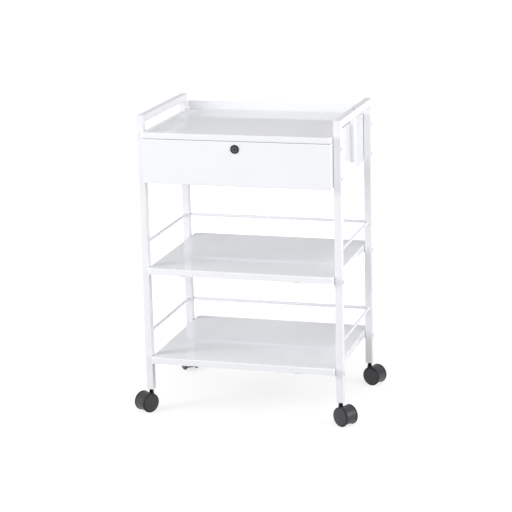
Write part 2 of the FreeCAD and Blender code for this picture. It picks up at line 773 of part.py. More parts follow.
def make_cabinet_back():
    """Flat panel between the side panels, narrower where it stands inside the tray's edge."""
    body = new_body("cabinet_back")
    shoulder = "(tray_lip_end - seam_gap - 2 * sheet)"
    tongue = "(panel_half - 2 * sheet)"
    right = [
        ("cabinet_half", "cabinet_bottom + sheet"),
        ("cabinet_half", shoulder),
        (tongue, shoulder),
        (tongue, "tray_under"),
    ]
    left = [("-" + across, up) for across, up in reversed(right)]
    outline = add_polygon(new_sketch(body, "XZ_Plane"), right + left)
    pad(body, outline, "sheet", reverse=True)
    place(body, "0", "cabinet_back", "0")
    finish(body, "cabinet_back_panel")


def make_lock_catch():
    """Angle under the tray that the raised cam stands behind."""
    body = new_body("lock_catch")
    rear = "(cam_face - catch_gap)"
    front = "(cam_face - catch_gap - catch_thickness)"
    low = "front_top + catch_clearance"
    corners = [
        (rear, "tray_under"),
        (rear, low),
        (front, low),
        (front, "tray_under - catch_thickness"),
        (rear + " - catch_flange", "tray_under - catch_thickness"),
        (rear + " - catch_flange", "tray_under"),
    ]
    outline = add_polygon(new_sketch(body, "YZ_Plane"), corners)
    pad(body, outline, "catch_width", both_ways=True)
    place(body)
    finish(body, "lock_catch")


# Drawer ------------------------------------------------------------------------------------------


def screw_spots():
    """Positions of the screws that hold the drawer box to its front, as formulas."""
    x = "(box_half - sheet - screw_inset)"
    low, high = "(box_bottom + sheet + screw_inset)", "(box_bottom + box_height - sheet - screw_inset)"
    return [(sign + x, height) for sign in ("-", "") for height in (low, high)]


def make_drawer_front():
    """Folded front with a hollow back, a return fold round it and the hole for the lock."""
    body = new_body("drawer_front")
    outline = new_sketch(body, "XZ_Plane")
    add_rectangle(outline, "-panel_half", "front_bottom", "panel_half", "front_top")
    pad(body, outline, "drawer_front_thickness", reverse=True)
    round_edges(body, "drawer_front_bend", lambda edge, bounds: edge.BoundBox.YMax < bounds.YMin + 1e-3)
    hollow = new_sketch(body, "XZ_Plane", "-sheet")
    low, high = "front_bottom + sheet", "front_top - sheet"
    add_rectangle(hollow, "-cabinet_half", low, "cabinet_half", high)
    pocket(body, hollow, "drawer_front_thickness - 2 * sheet", reverse=False)
    opening = new_sketch(body, "XZ_Plane", "-drawer_front_thickness / 2")
    side = "(panel_half - drawer_front_flange)"
    low, high = "front_bottom + drawer_front_flange", "front_top - drawer_front_flange"
    add_rectangle(opening, "-" + side, low, side, high)
    pocket(body, opening, "drawer_front_thickness", reverse=False)
    holes = new_sketch(body, "XZ_Plane")
    diameter = "lock_barrel_diameter + 2 * lock_hole_gap"
    add_circle(holes, diameter, "0", "lock_height")
    pocket(body, holes)
    threads = new_sketch(body, "XZ_Plane", "-drawer_front_thickness / 2")
    for x, height in screw_spots():
        add_circle(threads, "screw_diameter", x, height)
    pocket(body, threads, "drawer_front_thickness", reverse=False)
    place(body, "0", "front_face", "0")
    finish(body, "drawer_front")


def make_drawer_box():
    body = new_body("drawer_box")
    outline = new_sketch(body, "XY_Plane")
    add_rectangle(outline, "-box_half", "0", "box_half", "box_depth")
    pad(body, outline, "box_height")
    round_edges(body, "shelf_bend", lambda edge, bounds: edge.BoundBox.ZMax < bounds.ZMin + 1e-3)
    inside = new_sketch(body, "XY_Plane", "box_height")
    half = "(box_half - sheet)"
    add_rectangle(inside, "-" + half, "sheet", half, "box_depth - sheet")
    pocket(body, inside, "box_height - sheet")
    holes = new_sketch(body, "XZ_Plane")
    for x, height in screw_spots():
        add_circle(holes, "screw_diameter", x, height + " - box_bottom")
    pocket(body, holes, "2 * sheet", reverse=False)
    place(body, "0", "front_back", "box_bottom")
    finish(body, "drawer_box")


def make_drawer_screws():
    head = cylinder("screw_head", "screw_head_diameter", "screw_head_height", z="-screw_head_height")
    shank = cylinder("screw_shank", "screw_diameter", "screw_length")
    screw = fuse("screw_master", head, shank)
    forward = FreeCAD.Rotation(Z_AXIS, V(0, -1, 0))
    x = number("box_half") - number("sheet") - number("screw_inset")
    low = number("box_bottom") + number("sheet") + number("screw_inset")
    high = number("box_bottom") + number("box_height") - number("sheet") - number("screw_inset")
    seat = number("front_back") + number("sheet")
    spots = [(V(across * x, seat, z), forward) for _, across in SIDES for z in (low, high)]
    copies("drawer_screws", screw, spots)


# Runners -----------------------------------------------------------------------------------------


def make_runners():
    """A channel in the cabinet and an angle on the drawer box, on both sides."""
    depth, height = "runner_channel_depth", "runner_height"
    channel = [
        ("0", "0"),
        ("-" + depth, "0"),
        ("-" + depth, "sheet"),
        ("-sheet", "sheet"),
        ("-sheet", height + " - sheet"),
        ("-" + depth, height + " - sheet"),
        ("-" + depth, height),
        ("0", height),
    ]
    reach = "(runner_gap - 2 * sheet + roller_clearance)"
    angle = [
        ("0", "2 * sheet"),
        ("sheet", "2 * sheet"),
        ("sheet", "track_height"),
        (reach, "track_height"),
        (reach, "track_height + sheet"),
        ("0", "track_height + sheet"),
    ]
    members = (("cabinet_runner", channel, "cabinet_half", "runner_front"),
               ("drawer_runner", angle, "box_half", "front_back"))
    for kind, outline, x, start in members:
        for side, across in SIDES:
            name = "%s_%s" % (kind, side)
            body = new_body(name)
            sketch = new_sketch(body, "XZ_Plane")
            add_polygon(sketch, [("%d * (%s)" % (across, a), up) for a, up in outline])
            pad(body, sketch, "runner_length", reverse=True)
            place(body, "%d * %s" % (across, x), start, "runner_bottom")
            finish(body, name)


def make_rollers():
    """The roller and riveted pin of each runner member."""
    height = "runner_bottom + roller_height"
    ends = {"cabinet": "roller_front", "drawer": "roller_rear"}
    for kind, y in ends.items():
        pins = []
        for side, across in SIDES:
            name = "%s_roller_%s" % (kind, side)
            start = "%d * roller_middle - roller_width / 2" % across
            tyre = cylinder(name + "_disc", "roller_diameter", "roller_width", start, y, height, Y_AXIS)
            bore = cylinder(
                name + "_bore", "pin_diameter + 2 * running_gap", "roller_width", start, y, height, Y_AXIS
            )
            finish(cut(name, tyre, bore), name)
            root, tip = "(cabinet_half - sheet)", "(roller_middle - roller_width / 2 - pin_head_gap)"
            if kind == "drawer":
                root, tip = "(box_half + sheet)", "(roller_middle + roller_width / 2 + pin_head_gap)"
            pins.append(make_pin("%s_pin_%s" % (kind, side), across, root, tip, y, height))
        group = doc.addObject("Part::Compound", kind + "_roller_pins")
        group.Links = pins
        doc.recompute()
        finish(group, kind + "_roller_pins")


def make_pin(name, across, root, tip, y, height):
    """A headed pin along X from the root, on a runner's web, to the outside of its head."""
    reach = "abs(%s - %s)" % (tip, root)
    middle = "%d * (%s + %s) / 2" % (across, root, tip)
    shank_start = "%s - %s / 2" % (middle, reach)
    shank = cylinder(name + "_shank", "pin_diameter", reach, shank_start, y, height, Y_AXIS)
    outward = "%d * (%s - %s) / %s" % (across, tip, root, reach)
    head_middle = "%d * %s + %s * pin_head_height / 2" % (across, tip, outward)
    head_start = head_middle + " - pin_head_height / 2"
    head = cylinder(name + "_head", "pin_head_diameter", "pin_head_height", head_start, y, height, Y_AXIS)
    return fuse(name, shank, head)


# Cam lock ----------------------------------------------------------------------------------------


def make_lock():
    """Lock body, key plug with its cam, and the nut behind the drawer front."""
    front, height = "front_face", "lock_height"

    def along(name, diameter, length, start):
        return cylinder(name, diameter, length, "0", start + " + " + length, height, X_AXIS)

    rim = along("lock_rim", "lock_rim_diameter", "lock_rim_height", "(front_face - lock_rim_height)")
    barrel = along("lock_barrel", "lock_barrel_diameter", "lock_barrel_length", front)
    length = "(lock_rim_height + lock_barrel_length)"
    bore = along("lock_bore", "plug_diameter", length, "(front_face - lock_rim_height)")
    finish(cut("lock_body", fuse("lock_shell", rim, barrel), bore), "lock_body")

    plug_face = "(front_face - lock_rim_height + plug_recess)"
    plug_length = "(lock_rim_height - plug_recess + lock_barrel_length + cam_gap)"
    core = along("plug_core", "plug_diameter - 2 * running_gap", plug_length, plug_face)
    square = box(
        "plug_square",
        "cam_square",
        "cam_thickness + cam_gap",
        "cam_square",
        "-cam_square / 2",
        "cam_face - cam_gap",
        "lock_height - cam_square / 2",
    )
    rivet = along("plug_rivet_end", "cam_square * 1.3", "plug_rivet", "(cam_face + cam_thickness)")
    slot = box(
        "key_slot",
        "key_slot_width",
        "key_slot_depth",
        "key_slot_height",
        "-key_slot_width / 2",
        plug_face,
        "lock_height - key_slot_height / 2",
    )
    finish(cut("lock_plug", fuse("plug_whole", core, square, rivet), slot), "lock_plug")

    body = new_body("lock_cam")
    outline = new_sketch(body, "XZ_Plane")
    half = "cam_width / 2"
    add_rectangle(outline, "-cam_reach", "-" + half, half, half)
    pad(body, outline, "cam_thickness", reverse=True)

    def long_ends(edge, bounds):
        return runs_along(edge, Y_AXIS)

    round_edges(body, "cam_width / 2 - 0.5", long_ends)
    eye = new_sketch(body, "XZ_Plane")
    side = "cam_square / 2"
    add_rectangle(eye, "-" + side, "-" + side, side, side)
    pocket(body, eye)
    place(body, "0", "cam_face", "lock_height")
    finish(body, "lock_cam")

    start = "(front_face + sheet)"
    blank = hexagon(
        "lock_nut_blank", "lock_nut_flats", "lock_nut_height", "0", start + " + lock_nut_height", height, X_AXIS
    )
    hole = along("lock_nut_hole", "lock_barrel_diameter", "lock_nut_height", start)
    finish(cut("lock_nut", blank, hole), "lock_nut")


# Casters -----------------------------------------------------------------------------------------


def make_inserts_and_stems():
    """Plastic sockets in the posts and the steel stems pressed into them."""
    side = "(tube_side - 2 * tube_wall - 2 * insert_gap)"
    block = box("insert_block", side, side, "insert_length", "-%s / 2" % side, "-%s / 2" % side, "caster_height")
    depth = "stem_top_depth"
    hole = cylinder("insert_hole", "stem_diameter", depth, z="caster_height")
    insert = cut("insert_master", block, hole)

    shank_length = "(caster_height - stem_bottom + stem_top_depth)"
    shank = cylinder("stem_shank", "stem_diameter", shank_length, z="stem_bottom")
    collar_length = "(caster_height - boss_top - collar_gap)"
    collar = cylinder("stem_collar", "collar_diameter", collar_length, z="boss_top + collar_gap")
    flare = primitive(
        "Cone",
        "stem_flare",
        Radius1="collar_diameter / 2",
        Radius2="collar_flare / 2",
        Height="collar_flare_height",
    )
    place(flare, z="caster_height - collar_flare_height")
    stem = fuse("stem_master", shank, collar, flare)

    upright = FreeCAD.Rotation()
    spots = []
    for _, toward in ENDS:
        for _, across in SIDES:
            spots.append((V(across * number("post_x"), toward * number("post_y"), 0), upright))
    copies("post_inserts", insert, spots)
    copies("caster_stems", stem, spots)


def make_hood(name):
    """Curved hood between the wheels, with its middle wall and the boss round the stem."""
    width = "2 * hood_half"
    middle = "-caster_trail"

    def across(part, diameter, length):
        start = "-(%s) / 2" % length
        return cylinder(name + part, diameter, length, start, middle, "axle_height", Y_AXIS)

    drum = across("_drum", "2 * hood_radius", width)
    hollow = across("_hollow", "2 * (hood_radius - hood_wall)", width)
    shell = cut(name + "_shell", drum, hollow)
    web = across("_web", "2 * hood_radius - hood_wall", "hood_web")
    boss = cylinder(name + "_boss", "boss_diameter", "boss_top - boss_bottom", z="boss_bottom")
    whole = fuse(name + "_whole", shell, web, boss)
    below = box(
        name + "_below",
        width,
        "2 * hood_radius",
        "hood_floor_gap",
        "-hood_half",
        "-caster_trail - hood_radius",
    )
    bore_height = "boss_top - stem_bottom + running_gap"
    bore = cylinder(
        name + "_bore", "stem_diameter + 2 * running_gap", bore_height, z="stem_bottom - running_gap"
    )
    hole = across("_hole", "axle_diameter", "hood_web")
    return cut(name, whole, below, bore, hole)


def make_wheel(name, outward):
    """Closed outer disc with a hollow drum and a hub, turned round the axle."""
    body = new_body(name)
    sketch = new_sketch(body, "XZ_Plane")
    rim, drum = "wheel_diameter / 2", "wheel_drum_diameter / 2"
    inside = "(wheel_face - wheel_disc)"
    bore = "(axle_diameter / 2 + running_gap)"
    hub = "wheel_hub_diameter / 2"
    profile = [
        ("wheel_face", "0"),
        ("wheel_face", rim),
        (inside, rim),
        (inside, drum),
        ("wheel_drum_inset", drum),
        ("wheel_drum_inset", drum + " - wheel_drum_wall"),
        (inside, drum + " - wheel_drum_wall"),
        (inside, hub),
        ("wheel_hub_inset", hub),
        ("wheel_hub_inset", bore),
        (inside, bore),
        (inside, "0"),
    ]
    add_polygon(sketch, [("%d * (%s)" % (outward, x), radius) for x, radius in profile])
    turned = body.newObject("PartDesign::Revolution", name + "_turned")
    turned.Profile = sketch
    turned.ReferenceAxis = (sketch, ["H_Axis"])
    turned.Angle = 360
    doc.recompute()
    largest = number("wheel_diameter") / 2

    def disc_edge(edge, bounds):
        curve = edge.Curve
        return isinstance(curve, Part.Circle) and abs(curve.Radius - largest) < 1e-3

    round_edges(body, "wheel_round", disc_edge)
    return body


def caster_place(thing, corner, across, toward, x="0", y="0", z="0"):
    """Turns a piece about its post's axis, its own place given before the turn."""
    angle = "turn_%s" % corner
    cosine, sine = "cos(%s * 1 deg)" % angle, "sin(%s * 1 deg)" % angle
    cosine, sine = cosine.replace("deg", "°"), sine.replace("deg", "°")
    place(
        thing,
        "%d * post_x + (%s) * %s - (%s) * %s" % (across, x, cosine, y, sine),
        "%d * post_y + (%s) * %s + (%s) * %s" % (toward, x, sine, y, cosine),
        z,
        Z_AXIS,
        angle,
    )
    return thing


def make_casters():
    for end, toward in ENDS:
        for side, across in SIDES:
            corner = "%s_%s" % (end, side)
            hood = caster_place(make_hood("caster_hood_" + corner), corner, across, toward)
            finish(hood, "caster_hood_" + corner)
            length = "(2 * (wheel_face - wheel_disc - axle_end_gap))"
            pin = cylinder("axle_" + corner, "axle_diameter", length, axis=Y_AXIS)
            lying = place(pin, "-%s / 2" % length, "-caster_trail", "axle_height", Y_AXIS, "90")
            axle = doc.addObject("Part::Compound", "caster_axle_" + corner)
            axle.Links = [lying]
            finish(caster_place(axle, corner, across, toward), "caster_axle_" + corner)
            for wheel_side, outward in SIDES:
                name = "caster_wheel_%s_%s" % (corner, wheel_side)
                wheel = make_wheel(name, outward)
                caster_place(wheel, corner, across, toward, "0", "-caster_trail", "axle_height")
                finish(wheel, name)


# Making, checking and writing --------------------------------------------------------------------


def check():
    doc.recompute()
    for thing in doc.Objects:
        if "Invalid" in thing.State or "Error" in thing.State:
            raise RuntimeError("%s (%s) failed: %s" % (thing.Label, thing.TypeId, thing.State))
    for part in sub_parts:
        shape = part.Shape
        if shape.isNull() or not shape.isValid() or not shape.Solids:
            raise RuntimeError("%s has no sound solid" % part.Label)


def write():
    os.makedirs("parts", exist_ok=True)
    for part in sub_parts:
        part.Shape.exportStep("parts/%s.step" % part.Label)
    print("%d nodes, %d solids" % (len(sub_parts), sum(len(part.Shape.Solids) for part in sub_parts)))


fill_sheets()
make_posts()
make_rails()
make_rods()
make_lamp_socket()
for shelf_level in ("upper", "lower"):
    make_shelf(shelf_level)
    make_channels(shelf_level)
make_frame_fasteners()
make_tray()
make_cabinet_sides()
make_cabinet_back()
make_lock_catch()
make_drawer_front()
make_drawer_box()
make_drawer_screws()
make_runners()
make_rollers()
make_lock()
make_inserts_and_stems()
make_casters()
check()
write()
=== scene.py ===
"""Looks of a white steel utility trolley with a lockable drawer and twin-wheel casters.

Every length is in metres in the trolley's own frame: +Z up, the front towards -Y, and the origin on
the floor under the middle of the four posts. MM turns a size in millimetres into metres.
"""

import json
import logging
import math
from collections.abc import Callable, Iterable, Iterator
from contextlib import contextmanager
from dataclasses import dataclass
from enum import Enum
from typing import Any

import bmesh
import bpy
from mathutils import Matrix, Vector

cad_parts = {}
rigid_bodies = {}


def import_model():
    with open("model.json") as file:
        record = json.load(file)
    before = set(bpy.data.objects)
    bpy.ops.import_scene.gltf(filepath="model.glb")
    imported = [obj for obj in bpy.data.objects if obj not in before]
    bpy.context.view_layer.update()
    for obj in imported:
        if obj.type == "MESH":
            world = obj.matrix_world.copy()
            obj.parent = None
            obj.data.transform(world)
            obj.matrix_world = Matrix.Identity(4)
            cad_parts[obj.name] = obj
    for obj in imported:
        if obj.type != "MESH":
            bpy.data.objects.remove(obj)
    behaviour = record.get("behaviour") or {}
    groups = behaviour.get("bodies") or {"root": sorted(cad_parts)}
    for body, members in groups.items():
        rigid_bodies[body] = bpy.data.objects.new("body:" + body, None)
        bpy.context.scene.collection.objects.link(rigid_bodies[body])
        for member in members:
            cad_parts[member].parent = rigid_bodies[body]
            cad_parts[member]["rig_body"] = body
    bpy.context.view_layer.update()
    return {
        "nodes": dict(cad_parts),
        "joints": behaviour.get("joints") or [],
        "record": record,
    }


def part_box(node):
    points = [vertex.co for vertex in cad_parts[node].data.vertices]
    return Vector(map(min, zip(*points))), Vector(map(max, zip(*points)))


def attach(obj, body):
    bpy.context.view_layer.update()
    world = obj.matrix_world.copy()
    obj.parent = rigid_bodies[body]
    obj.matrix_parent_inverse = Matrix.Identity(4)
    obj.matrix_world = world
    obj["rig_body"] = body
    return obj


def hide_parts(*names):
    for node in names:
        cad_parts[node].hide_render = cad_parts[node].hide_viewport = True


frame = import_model()

LOG = logging.getLogger("trolley")
MM = 0.001
ON_PLANE = 0.01 * MM
MERGE = ON_PLANE / 10
SAME_WAY = 0.99
QUARTER_TURN = math.radians(90.0)
# A noise texture keeps mostly between these two values.
NOISE_LOW, NOISE_HIGH = 0.3, 0.7


class Side(Enum):
    """Left and right, seen from the front of the trolley."""

    LEFT = "left"
    RIGHT = "right"


class End(Enum):
    """Front and rear of the trolley."""

    FRONT = "front"
    REAR = "rear"


class Level(Enum):
    """The two open shelves."""

    UPPER = "upper"
    LOWER = "lower"


class Part(Enum):
    """What an edit-mode selection is made of."""

    FACES = "FACE"
    EDGES = "EDGE"


CORNERS = ["%s_%s" % (end.value, side.value) for end in End for side in Side]
SLOTS = {row["node"]: row["material_slot"] for row in frame["record"]["subparts"]}
JOINTS = {joint["name"]: joint for joint in frame["joints"]}


# Nodes of a material -----------------------------------------------------------------------------


def linear(colour: str) -> tuple[float, float, float, float]:
    """Turns an sRGB hex colour such as "F4F4F8" into Blender's linear values.

    Args:
        colour: Six hex digits.

    Returns:
        Linear red, green and blue, and an alpha of 1.
    """
    values = [int(colour[index : index + 2], 16) / 255 for index in (0, 2, 4)]
    red, green, blue = (v / 12.92 if v <= 0.04045 else ((v + 0.055) / 1.055) ** 2.4 for v in values)
    return red, green, blue, 1.0


def add_node(
    tree: bpy.types.NodeTree, kind: str, inputs: dict[str | int, Any] | None = None, **settings: Any
) -> bpy.types.Node:
    """Adds a node, sets its options, and fills or links its inputs.

    Args:
        tree: The node tree of a material or the world.
        kind: The node's type without its "ShaderNode" prefix, such as "TexNoise".
        inputs: Socket names or numbers, each with a value or with the output socket to link.
        **settings: Options of the node, such as operation="MULTIPLY".

    Returns:
        The new node.
    """
    node = tree.nodes.new("ShaderNode" + kind)
    for option, value in settings.items():
        setattr(node, option, value)
    for socket, value in (inputs or {}).items():
        if isinstance(value, bpy.types.NodeSocket):
            tree.links.new(value, node.inputs[socket])
        else:
            node.inputs[socket].default_value = value
    return node


def new_material(name: str) -> tuple[bpy.types.Material, bpy.types.NodeTree, bpy.types.Node]:
    """Makes an empty material with an output node.

    Args:
        name: The material's name.

    Returns:
        The material, its node tree and its output node.
    """
    material = bpy.data.materials.new(name)
    material.use_nodes = True
    tree = material.node_tree
    tree.nodes.clear()
    return material, tree, add_node(tree, "OutputMaterial")


# Finishes ----------------------------------------------------------------------------------------


@dataclass(frozen=True)
class BakedCoat:
    """Powder or lacquer baked on metal: a closed film with a faint orange peel.

    The nibs are drawn larger than real ones, which are too small to show in the render.
    """

    name: str
    colour: str
    shade: str
    roughness: float
    roughness_share: float = 0.2
    peel_mm: float = 3.0
    peel_depth_mm: float = 0.006
    cloud_mm: float = 90.0
    nib_spacing_mm: float = 10.0
    nib_radius: float = 0.12
    nib_height: float = 0.5
    ior: float = 1.5

    def material(self) -> bpy.types.Material:
        """Builds the coat: clouds where the film is thick or thin, orange peel, and fine nibs.

        The clouds keep a large white face from looking like paper, the peel breaks up long
        reflections, and the nibs are what dust leaves in a baked film.

        Returns:
            The material.
        """
        material, tree, output = new_material(self.name)
        place = add_node(tree, "TexCoord").outputs["Object"]
        clouds = add_node(
            tree, "TexNoise", {"Vector": place, "Scale": 1 / (self.cloud_mm * MM), "Detail": 2.0}
        )
        tint = add_node(
            tree,
            "Mix",
            {"Factor": clouds.outputs["Fac"], "A": linear(self.colour), "B": linear(self.shade)},
            data_type="RGBA",
        )
        sheen = add_node(
            tree,
            "MapRange",
            {
                "Value": clouds.outputs["Fac"],
                "From Min": NOISE_LOW,
                "From Max": NOISE_HIGH,
                "To Min": self.roughness * (1 - self.roughness_share),
                "To Max": self.roughness * (1 + self.roughness_share),
            },
        )
        peel = add_node(
            tree, "TexNoise", {"Vector": place, "Scale": 1 / (self.peel_mm * MM), "Detail": 1.0}
        )
        nibs = add_node(
            tree, "TexVoronoi", {"Vector": place, "Scale": 1 / (self.nib_spacing_mm * MM)}
        )
        nib = add_node(
            tree,
            "MapRange",
            {
                "Value": nibs.outputs["Distance"],
                "From Min": 0.0,
                "From Max": self.nib_radius,
                "To Min": self.nib_height,
                "To Max": 0.0,
            },
        )
        relief = add_node(
            tree, "Math", {0: peel.outputs["Fac"], 1: nib.outputs["Result"]}, operation="ADD"
        )
        bump = add_node(
            tree,
            "Bump",
            {"Height": relief.outputs[0], "Distance": self.peel_depth_mm * MM, "Strength": 1.0},
        )
        shader = add_node(
            tree,
            "BsdfPrincipled",
            {
                "Base Color": tint.outputs["Result"],
                "Roughness": sheen.outputs["Result"],
                "IOR": self.ior,
                "Normal": bump.outputs["Normal"],
            },
        )
        tree.links.new(shader.outputs["BSDF"], output.inputs["Surface"])
        return material


@dataclass(frozen=True)
class MouldedPlastic:
    """Injection-moulded plastic: one colour through and through, with a spark-eroded grain.

    The grain is drawn coarser than the real one, which is too fine to show in the render.
    """

    name: str
    colour: str
    shade: str
    roughness: float
    roughness_spread: float = 0.05
    flow_mm: float = 14.0
    grain_mm: float = 0.9
    grain_depth_mm: float = 0.02
    scuff: float = 0.0
    scuff_mm: float = 3.0
    scuff_colour: str = "8C8C90"
    ior: float = 1.53

    def material(self) -> bpy.types.Material:
        """Builds the plastic: soft flow marks in colour, a fine even grain, and pale scuffs.

        The grain breaks up the highlight as a spark-eroded mould does, and the scuffs are the
        lighter marks that a rolling or rubbed surface gets.

        Returns:
            The material.
        """
        material, tree, output = new_material(self.name)
        place = add_node(tree, "TexCoord").outputs["Object"]
        flow = add_node(
            tree, "TexNoise", {"Vector": place, "Scale": 1 / (self.flow_mm * MM), "Detail": 3.0}
        )
        tint = add_node(
            tree,
            "Mix",
            {"Factor": flow.outputs["Fac"], "A": linear(self.colour), "B": linear(self.shade)},
            data_type="RGBA",
        )
        streaks = add_node(
            tree,
            "TexNoise",
            {
                "Vector": place,
                "Scale": 1 / (self.scuff_mm * MM),
                "Detail": 6.0,
                "Roughness": 0.7,
            },
        )
        rubbed = add_node(
            tree,
            "MapRange",
            {
                "Value": streaks.outputs["Fac"],
                "From Min": 0.58,
                "From Max": 0.75,
                "To Min": 0.0,
                "To Max": self.scuff,
            },
        )
        worn = add_node(
            tree,
            "Mix",
            {
                "Factor": rubbed.outputs["Result"],
                "A": tint.outputs["Result"],
                "B": linear(self.scuff_colour),
            },
            data_type="RGBA",
        )
        grain = add_node(
            tree, "TexNoise", {"Vector": place, "Scale": 1 / (self.grain_mm * MM), "Detail": 2.0}
        )
        rough = add_node(
            tree,
            "MapRange",
            {
                "Value": flow.outputs["Fac"],
                "From Min": NOISE_LOW,
                "From Max": NOISE_HIGH,
                "To Min": self.roughness - self.roughness_spread,
                "To Max": self.roughness + self.roughness_spread,
            },
        )
        bump = add_node(
            tree,
            "Bump",
            {"Height": grain.outputs["Fac"], "Distance": self.grain_depth_mm * MM, "Strength": 1.0},
        )
        shader = add_node(
            tree,
            "BsdfPrincipled",
            {
                "Base Color": worn.outputs["Result"],
                "Roughness": rough.outputs["Result"],
                "IOR": self.ior,
                "Normal": bump.outputs["Normal"],
            },
        )
        tree.links.new(shader.outputs["BSDF"], output.inputs["Surface"])
        return material


@dataclass(frozen=True)
class PlatedSteel:
    """Steel, bare or thinly plated, with the fine marks of drawing and rolling still in it.

    The marks are drawn coarser than real ones, which are too fine to show in the render.
    """

    name: str
    colour: str
    shade: str
    roughness: float
    metallic: float = 1.0
    roughness_spread: float = 0.06
    cloud_mm: float = 5.0
    mark_mm: float = 0.35
    mark_depth_mm: float = 0.004

    def material(self) -> bpy.types.Material:
        """Builds the metal: cloudy passivation in colour and roughness, fine marks as a bump.

        Returns:
            The material.
        """
        material, tree, output = new_material(self.name)
        place = add_node(tree, "TexCoord").outputs["Object"]
        cloud = add_node(
            tree, "TexNoise", {"Vector": place, "Scale": 1 / (self.cloud_mm * MM), "Detail": 4.0}
        )
        tint = add_node(
            tree,
            "Mix",
            {"Factor": cloud.outputs["Fac"], "A": linear(self.colour), "B": linear(self.shade)},
            data_type="RGBA",
        )
        rough = add_node(
            tree,
            "MapRange",
            {
                "Value": cloud.outputs["Fac"],
                "From Min": NOISE_LOW,
                "From Max": NOISE_HIGH,
                "To Min": self.roughness - self.roughness_spread,
                "To Max": self.roughness + self.roughness_spread,
            },
        )
        marks = add_node(
            tree, "TexNoise", {"Vector": place, "Scale": 1 / (self.mark_mm * MM), "Detail": 1.0}
        )
        bump = add_node(
            tree,
            "Bump",
            {"Height": marks.outputs["Fac"], "Distance": self.mark_depth_mm * MM, "Strength": 1.0},
        )
        shader = add_node(
            tree,
            "BsdfPrincipled",
            {
                "Base Color": tint.outputs["Result"],
                "Roughness": rough.outputs["Result"],
                "Metallic": self.metallic,
                "Normal": bump.outputs["Normal"],
            },
        )
        tree.links.new(shader.outputs["BSDF"], output.inputs["Surface"])
        return material


class Finishes:
    """All the finishes of the trolley, each made once."""

    def __init__(self) -> None:
        """Makes the materials."""
        # Semi-gloss white powder coat, sprayed and baked: a soft broad shine on the tubes.
        self.tube_coat = BakedCoat("powder_coated_steel_tube", "F0F0F5", "ECECF1", 0.2).material()
        # High-gloss white powder coat: flat sheets that mirror what stands on them, a bit blurred.
        self.sheet_coat = BakedCoat(
            "powder_coated_steel_sheet", "F1F2F5", "EDEEF2", 0.04
        ).material()
        # Bare steel inside the lamp socket, where no powder reaches: dull grey.
        # The same dull grey inside the shelf channels' hollow is painted shade.
        self.bare_steel_and_painted_shade = PlatedSteel("bare_drawn_steel_and_painted_shade", "6A6B6F", "55565A", 0.5, 0.7).material()
        # Bright nickel on the frame bolts: pale grey with small sharp lights.
        self.nickel = PlatedSteel("nickel_plated_steel", "D4D4D7", "C6C6CA", 0.3).material()
        # Black zinc on the caster stems: near black with a low metal shine.
        self.black_zinc = PlatedSteel(
            "black_zinc_plated_steel", "17171A", "0F0F11", 0.42, 0.5
        ).material()
        # Zinc plating, passivated: bluish grey and cloudy.
        self.zinc = PlatedSteel("zinc_plated_steel", "B9BBBE", "A4A7AB", 0.32).material()
        # Bright drawn steel of the axles: clean grey with a sharp light along them.
        self.axle_steel = PlatedSteel("drawn_bright_steel", "B4B4B6", "9C9CA0", 0.28).material()
        # Black polyethylene of the post inserts and washers: dull and even.
        self.black_plastic = MouldedPlastic(
            "moulded_black_polyethylene", "101011", "161617", 0.5
        ).material()
        # Black lacquer on the die-cast lock: deep black with a low shine.
        self.lock_black = BakedCoat(
            "black_lacquered_zinc_casting", "040405", "070708", 0.42, ior=1.3
        ).material()
        # Dark nickel on the key plug and its shield: dark grey, satin.
        self.lock_grey = PlatedSteel("dark_nickel_key_plug", "5E5F64", "4A4B50", 0.34).material()
        # Natural nylon of the runner rollers: milky, waxy white.
        self.roller_nylon = MouldedPlastic(
            "moulded_natural_nylon", "DAD9D2", "CFCEC6", 0.4
        ).material()
        # Charcoal nylon of the hoods and caps: dark grey with a satin sheen.
        self.caster_grey = MouldedPlastic(
            "moulded_charcoal_nylon", "333337", "2C2C30", 0.34, scuff=0.05
        ).material()
        # Black nylon tread and wheel body, lightly scuffed by the floor.
        self.tread_black = MouldedPlastic(
            "moulded_black_nylon_tread", "040405", "070708", 0.55, scuff=0.04
        ).material()


# Modelling by hand -------------------------------------------------------------------------------


def activate(piece: bpy.types.Object) -> None:
    """Makes one piece the only selected and the active one."""
    bpy.ops.object.select_all(action="DESELECT")
    piece.select_set(True)
    bpy.context.view_layer.objects.active = piece


@contextmanager
def editing(piece: bpy.types.Object) -> Iterator[None]:
    """Opens a piece in edit mode with nothing selected, and closes it again.

    Args:
        piece: The piece to shape.

    Yields:
        Nothing; the piece is in edit mode.
    """
    activate(piece)
    bpy.ops.object.mode_set(mode="EDIT")
    bpy.ops.mesh.select_all(action="DESELECT")
    yield
    bpy.ops.object.mode_set(mode="OBJECT")


def pick(piece: bpy.types.Object, part: Part, wanted: Callable[[Any], bool]) -> None:
    """Selects the faces or edges of a piece in edit mode that a test wants, and no others.

    Args:
        piece: The piece in edit mode.
        part: Faces or edges.
        wanted: Tells of one face or edge whether it is selected.
    """
    bpy.ops.mesh.select_mode(type=part.value)
    bpy.ops.mesh.select_all(action="DESELECT")
    mesh = bmesh.from_edit_mesh(piece.data)
    for item in mesh.faces if part is Part.FACES else mesh.edges:
        if wanted(item):
            item.select_set(True)
    mesh.select_flush_mode()
    bmesh.update_edit_mesh(piece.data)


def facing(direction: tuple[float, float, float], at: float | None = None) -> Callable[[Any], bool]:
    """Makes a test for flat faces that look one way.

    Args:
        direction: Unit vector that the face looks along.
        at: How far along it the face lies, or None for anywhere.

    Returns:
        The test, for pick().
    """
    axis = Vector(direction)

    def wanted(face: Any) -> bool:
        if face.normal.dot(axis) < SAME_WAY:
            return False
        return at is None or abs(face.calc_center_median().dot(axis) - at) < ON_PLANE

    return wanted


